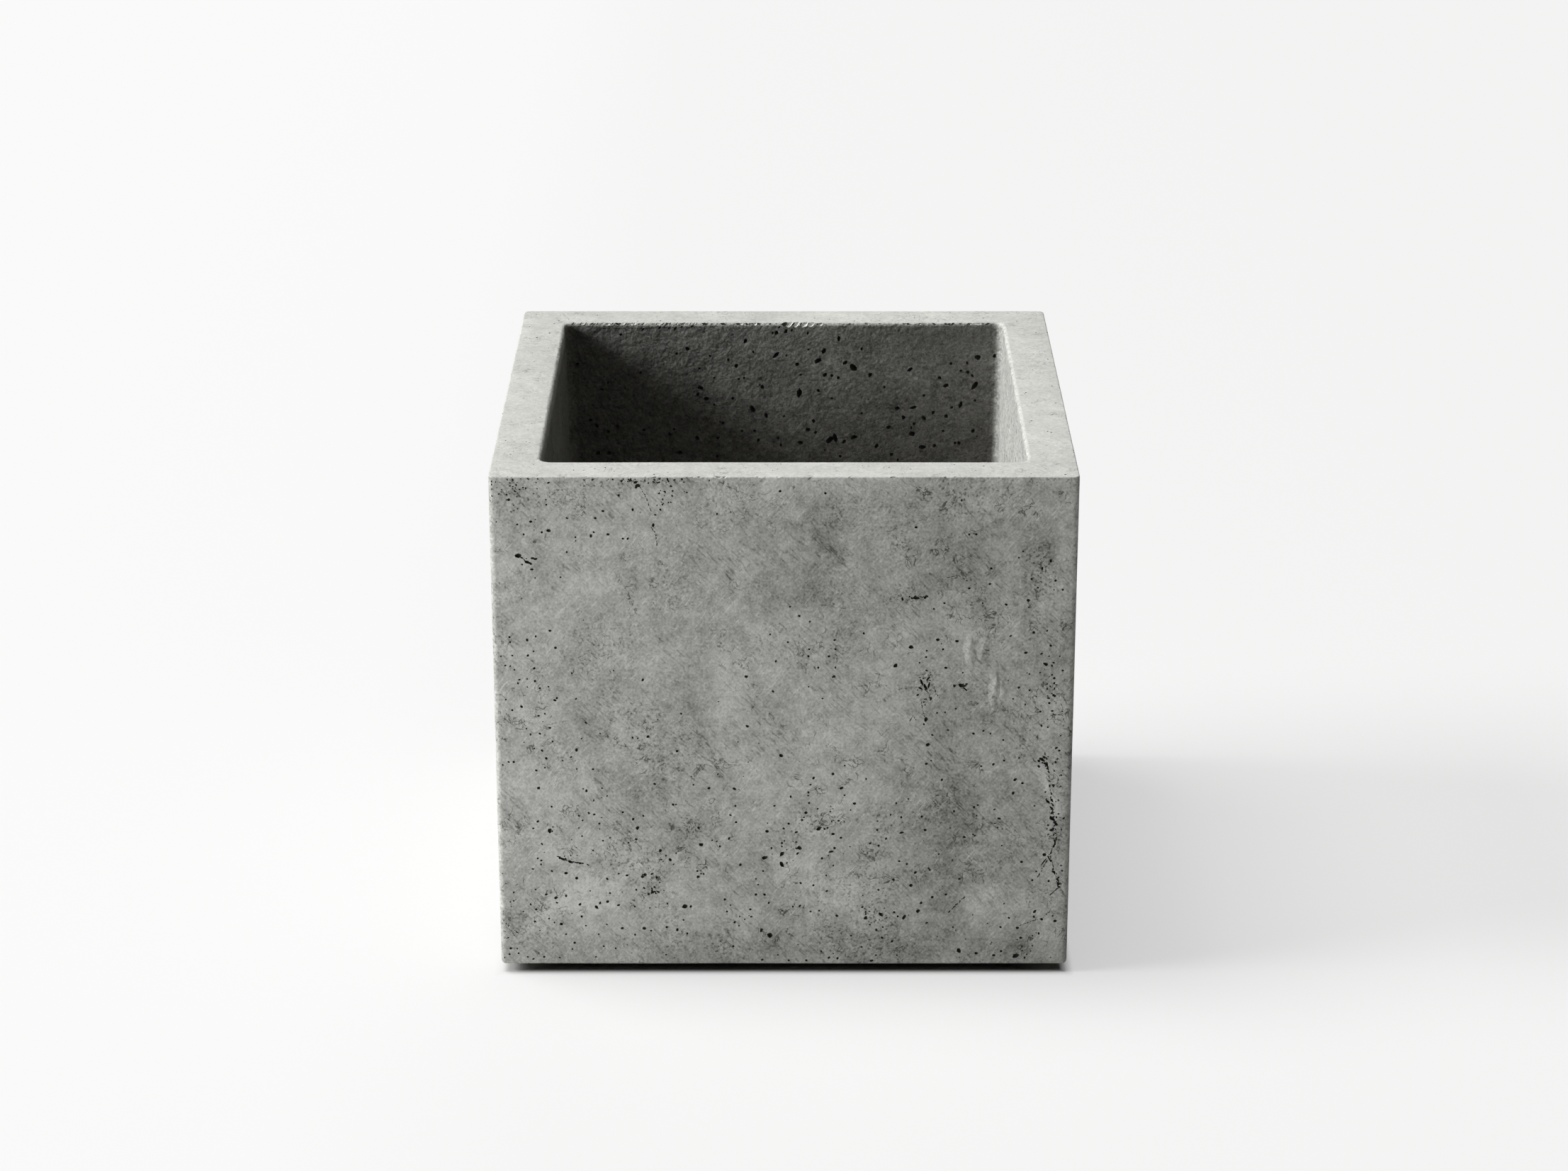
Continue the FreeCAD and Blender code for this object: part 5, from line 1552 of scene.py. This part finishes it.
def floor_paint(tree, stage, out_x, out_y, seen):
    """Matt paint, with painted shadow in the gap below the tub, and duller as it lights the tub."""
    beside = add_node(tree, "ShaderNodeMapRange",
                      {0: out_x, 1: HALF_WIDTH + GAP_SIDES[0], 2: HALF_WIDTH + GAP_SIDES[1]})
    before = add_node(tree, "ShaderNodeMapRange",
                      {0: out_y, 1: HALF_DEPTH + GAP_ENDS[0], 2: HALF_DEPTH + GAP_ENDS[1]})
    open_floor = add_node(tree, "ShaderNodeMath", {0: beside.outputs[0], 1: before.outputs[0]},
                          operation="MAXIMUM")
    colour = add_node(tree, "ShaderNodeMix",
                      {0: open_floor.outputs[0], 6: stage.ground_painted_shadow, 7: stage.ground},
                      data_type="RGBA").outputs[2]
    colour = add_node(tree, "ShaderNodeMix", {0: seen, 6: stage.ground_bounce, 7: colour},
                      data_type="RGBA").outputs[2]
    return add_node(tree, "ShaderNodeBsdfDiffuse", {"Color": colour}).outputs[0]


def floor_white(tree, across):
    """Plain white that falls off a little to the right."""
    fall = add_node(tree, "ShaderNodeMapRange",
                    {0: across, 1: FALL_SPAN[0], 2: FALL_SPAN[1], 3: FALL[0], 4: FALL[1]})
    return add_node(tree, "ShaderNodeEmission",
                    {"Color": linear("#ffffff"), "Strength": fall.outputs[0]}).outputs[0]


def floor_white_share(tree, stage, across, reach, seen):
    """Share of plain white in the look of the floor: less where the shadow falls, and none below the tub."""
    clear = add_node(tree, "ShaderNodeMapRange",
                     {0: reach, 1: HALF_WIDTH + WHITE_EDGE[0], 2: HALF_WIDTH + WHITE_EDGE[1]})
    shown = add_node(tree, "ShaderNodeMapRange",
                     {0: across, 1: WHITE_SPAN[0], 2: WHITE_SPAN[1],
                      3: stage.white_left, 4: stage.white_right})
    share = shown.outputs[0]
    for mask in (clear.outputs[0], seen):
        share = add_node(tree, "ShaderNodeMath", {0: share, 1: mask}, operation="MULTIPLY").outputs[0]
    return share


def floor_material(stage):
    """Matt painted floor, which the camera sees partly as plain white."""
    material = bpy.data.materials.new("floor_painted_matt")
    material.use_nodes = True
    tree = material.node_tree
    tree.nodes.clear()
    place = add_node(tree, "ShaderNodeTexCoord", {}).outputs["Object"]
    across, along, _ = add_node(tree, "ShaderNodeSeparateXYZ", {"Vector": place}).outputs
    out_x = add_node(tree, "ShaderNodeMath", {0: across}, operation="ABSOLUTE").outputs[0]
    out_y = add_node(tree, "ShaderNodeMath", {0: along}, operation="ABSOLUTE").outputs[0]
    reach = add_node(tree, "ShaderNodeMath", {0: out_x, 1: out_y}, operation="MAXIMUM").outputs[0]
    seen = seen_directly(tree)
    mixed = add_node(tree, "ShaderNodeMixShader",
                     {0: floor_white_share(tree, stage, across, reach, seen),
                      1: floor_paint(tree, stage, out_x, out_y, seen), 2: floor_white(tree, across)})
    add_node(tree, "ShaderNodeOutputMaterial", {"Surface": mixed.outputs[0]})
    return material


def stage_world(stage):
    """White all round for the camera, and a weak even light on the object."""
    world = bpy.data.worlds.new("studio")
    world.use_nodes = True
    tree = world.node_tree
    tree.nodes.clear()
    level = add_node(tree, "ShaderNodeMapRange", {0: seen_directly(tree), 3: stage.fill, 4: 1.0})
    light = add_node(tree, "ShaderNodeBackground",
                     {"Color": linear("#ffffff"), "Strength": level.outputs[0]})
    add_node(tree, "ShaderNodeOutputWorld", {"Surface": light.outputs[0]})
    return world


def hang_lamp(name, kind, place, **settings):
    """A lamp that shines from its place at the middle of the planter."""
    lamp = bpy.data.lights.new(name, kind)
    for setting, value in settings.items():
        setattr(lamp, setting, value)
    holder = bpy.data.objects.new(name, lamp)
    holder.location = place
    holder.rotation_euler = (place - Vector((0, 0, RIM_Z / 2))).to_track_quat("Z", "Y").to_euler()
    holder.visible_camera = False
    bpy.context.scene.collection.objects.link(holder)
    return holder


def keep_off(lamp, piece):
    """Flags a lamp, so that its light doesn't fall on a piece."""
    flag = bpy.data.collections.new(lamp.name + "_flag")
    flag.objects.link(piece)
    flag.collection_objects[0].light_linking.link_state = "EXCLUDE"
    lamp.light_linking.receiver_collection = flag


def on_the_left(height, forward):
    """A place to the left of the planter, by its angles above the ground and in front of the side."""
    level = LAMP_DISTANCE * math.cos(height)
    return Vector((-level * math.cos(forward), -level * math.sin(forward),
                   RIM_Z / 2 + LAMP_DISTANCE * math.sin(height)))


def hang_lamps(stage, floor):
    """Three broad lights on the left, and a low card in front that lights the tub but not the floor."""
    for name, height, forward, strength in (
            ("top_light", stage.top_height, stage.high_forward, stage.top_strength),
            ("high_light", stage.high_height, stage.high_forward, stage.high_strength),
            ("side_light", stage.side_height, stage.side_forward, stage.side_strength)):
        hang_lamp(name, "SUN", on_the_left(height, forward), energy=strength, angle=stage.spread)
    card = hang_lamp("card", "AREA", Vector(stage.card_place), energy=stage.card_power,
                     shape="RECTANGLE", size=stage.card_width, size_y=stage.card_height)
    keep_off(card, floor)


def photo_camera():
    """The camera where the photograph was taken."""
    lens = bpy.data.cameras.new("camera")
    lens.lens = CAMERA_LENS
    lens.sensor_width = CAMERA_SENSOR
    lens.sensor_fit = "HORIZONTAL"
    camera = bpy.data.objects.new("camera", lens)
    camera.location = CAMERA_PLACE
    camera.rotation_euler = (CAMERA_TILT, 0, 0)
    bpy.context.scene.collection.objects.link(camera)
    return camera


class PLANTER_OT_stage(bpy.types.Operator):
    """Lays the floor, hangs the lamps and stands the camera where the photograph was taken"""
    bl_idname = "planter.stage"
    bl_label = "Stage"

    def execute(self, context):
        scene = context.scene
        stage = scene.planter_stage
        ground = bmesh.new()
        bmesh.ops.create_circle(ground, cap_ends=True, segments=FLOOR_SIDES, radius=FLOOR_RADIUS)
        floor = new_piece("floor", ground, [floor_material(stage)])
        scene.world = stage_world(stage)
        hang_lamps(stage, floor)
        scene.camera = photo_camera()
        scene.view_settings.view_transform = "Standard"
        return {"FINISHED"}


class PLANTER_PT_sidebar(bpy.types.Panel):
    """Sizes, colours and steps of the planter"""
    bl_label = "Concrete planter"
    bl_idname = "PLANTER_PT_sidebar"
    bl_space_type = "VIEW_3D"
    bl_region_type = "UI"
    bl_category = "Planter"

    def draw(self, context):
        scene = context.scene
        for group in (scene.planter_sizes, scene.planter_colours, scene.planter_stage):
            box = self.layout.box()
            for name in group.__annotations__:
                box.prop(group, name)
        for operator in OPERATORS:
            self.layout.operator(operator.bl_idname)


OPERATORS = (PLANTER_OT_concrete_tub, PLANTER_OT_wire_cage, PLANTER_OT_drain, PLANTER_OT_feet,
             PLANTER_OT_stage)
CLASSES = (PlanterSizes, PlanterColours, PlanterStage, *OPERATORS, PLANTER_PT_sidebar)


def register():
    for item in CLASSES:
        bpy.utils.register_class(item)
    bpy.types.Scene.planter_sizes = PointerProperty(type=PlanterSizes)
    bpy.types.Scene.planter_colours = PointerProperty(type=PlanterColours)
    bpy.types.Scene.planter_stage = PointerProperty(type=PlanterStage)


def unregister():
    del bpy.types.Scene.planter_stage
    del bpy.types.Scene.planter_colours
    del bpy.types.Scene.planter_sizes
    for item in reversed(CLASSES):
        bpy.utils.unregister_class(item)


def main():
    register()
    bpy.ops.planter.concrete_tub()
    bpy.ops.planter.wire_cage()
    bpy.ops.planter.drain()
    bpy.ops.planter.feet()
    bpy.ops.planter.stage()


if __name__ == "__main__":
    main()
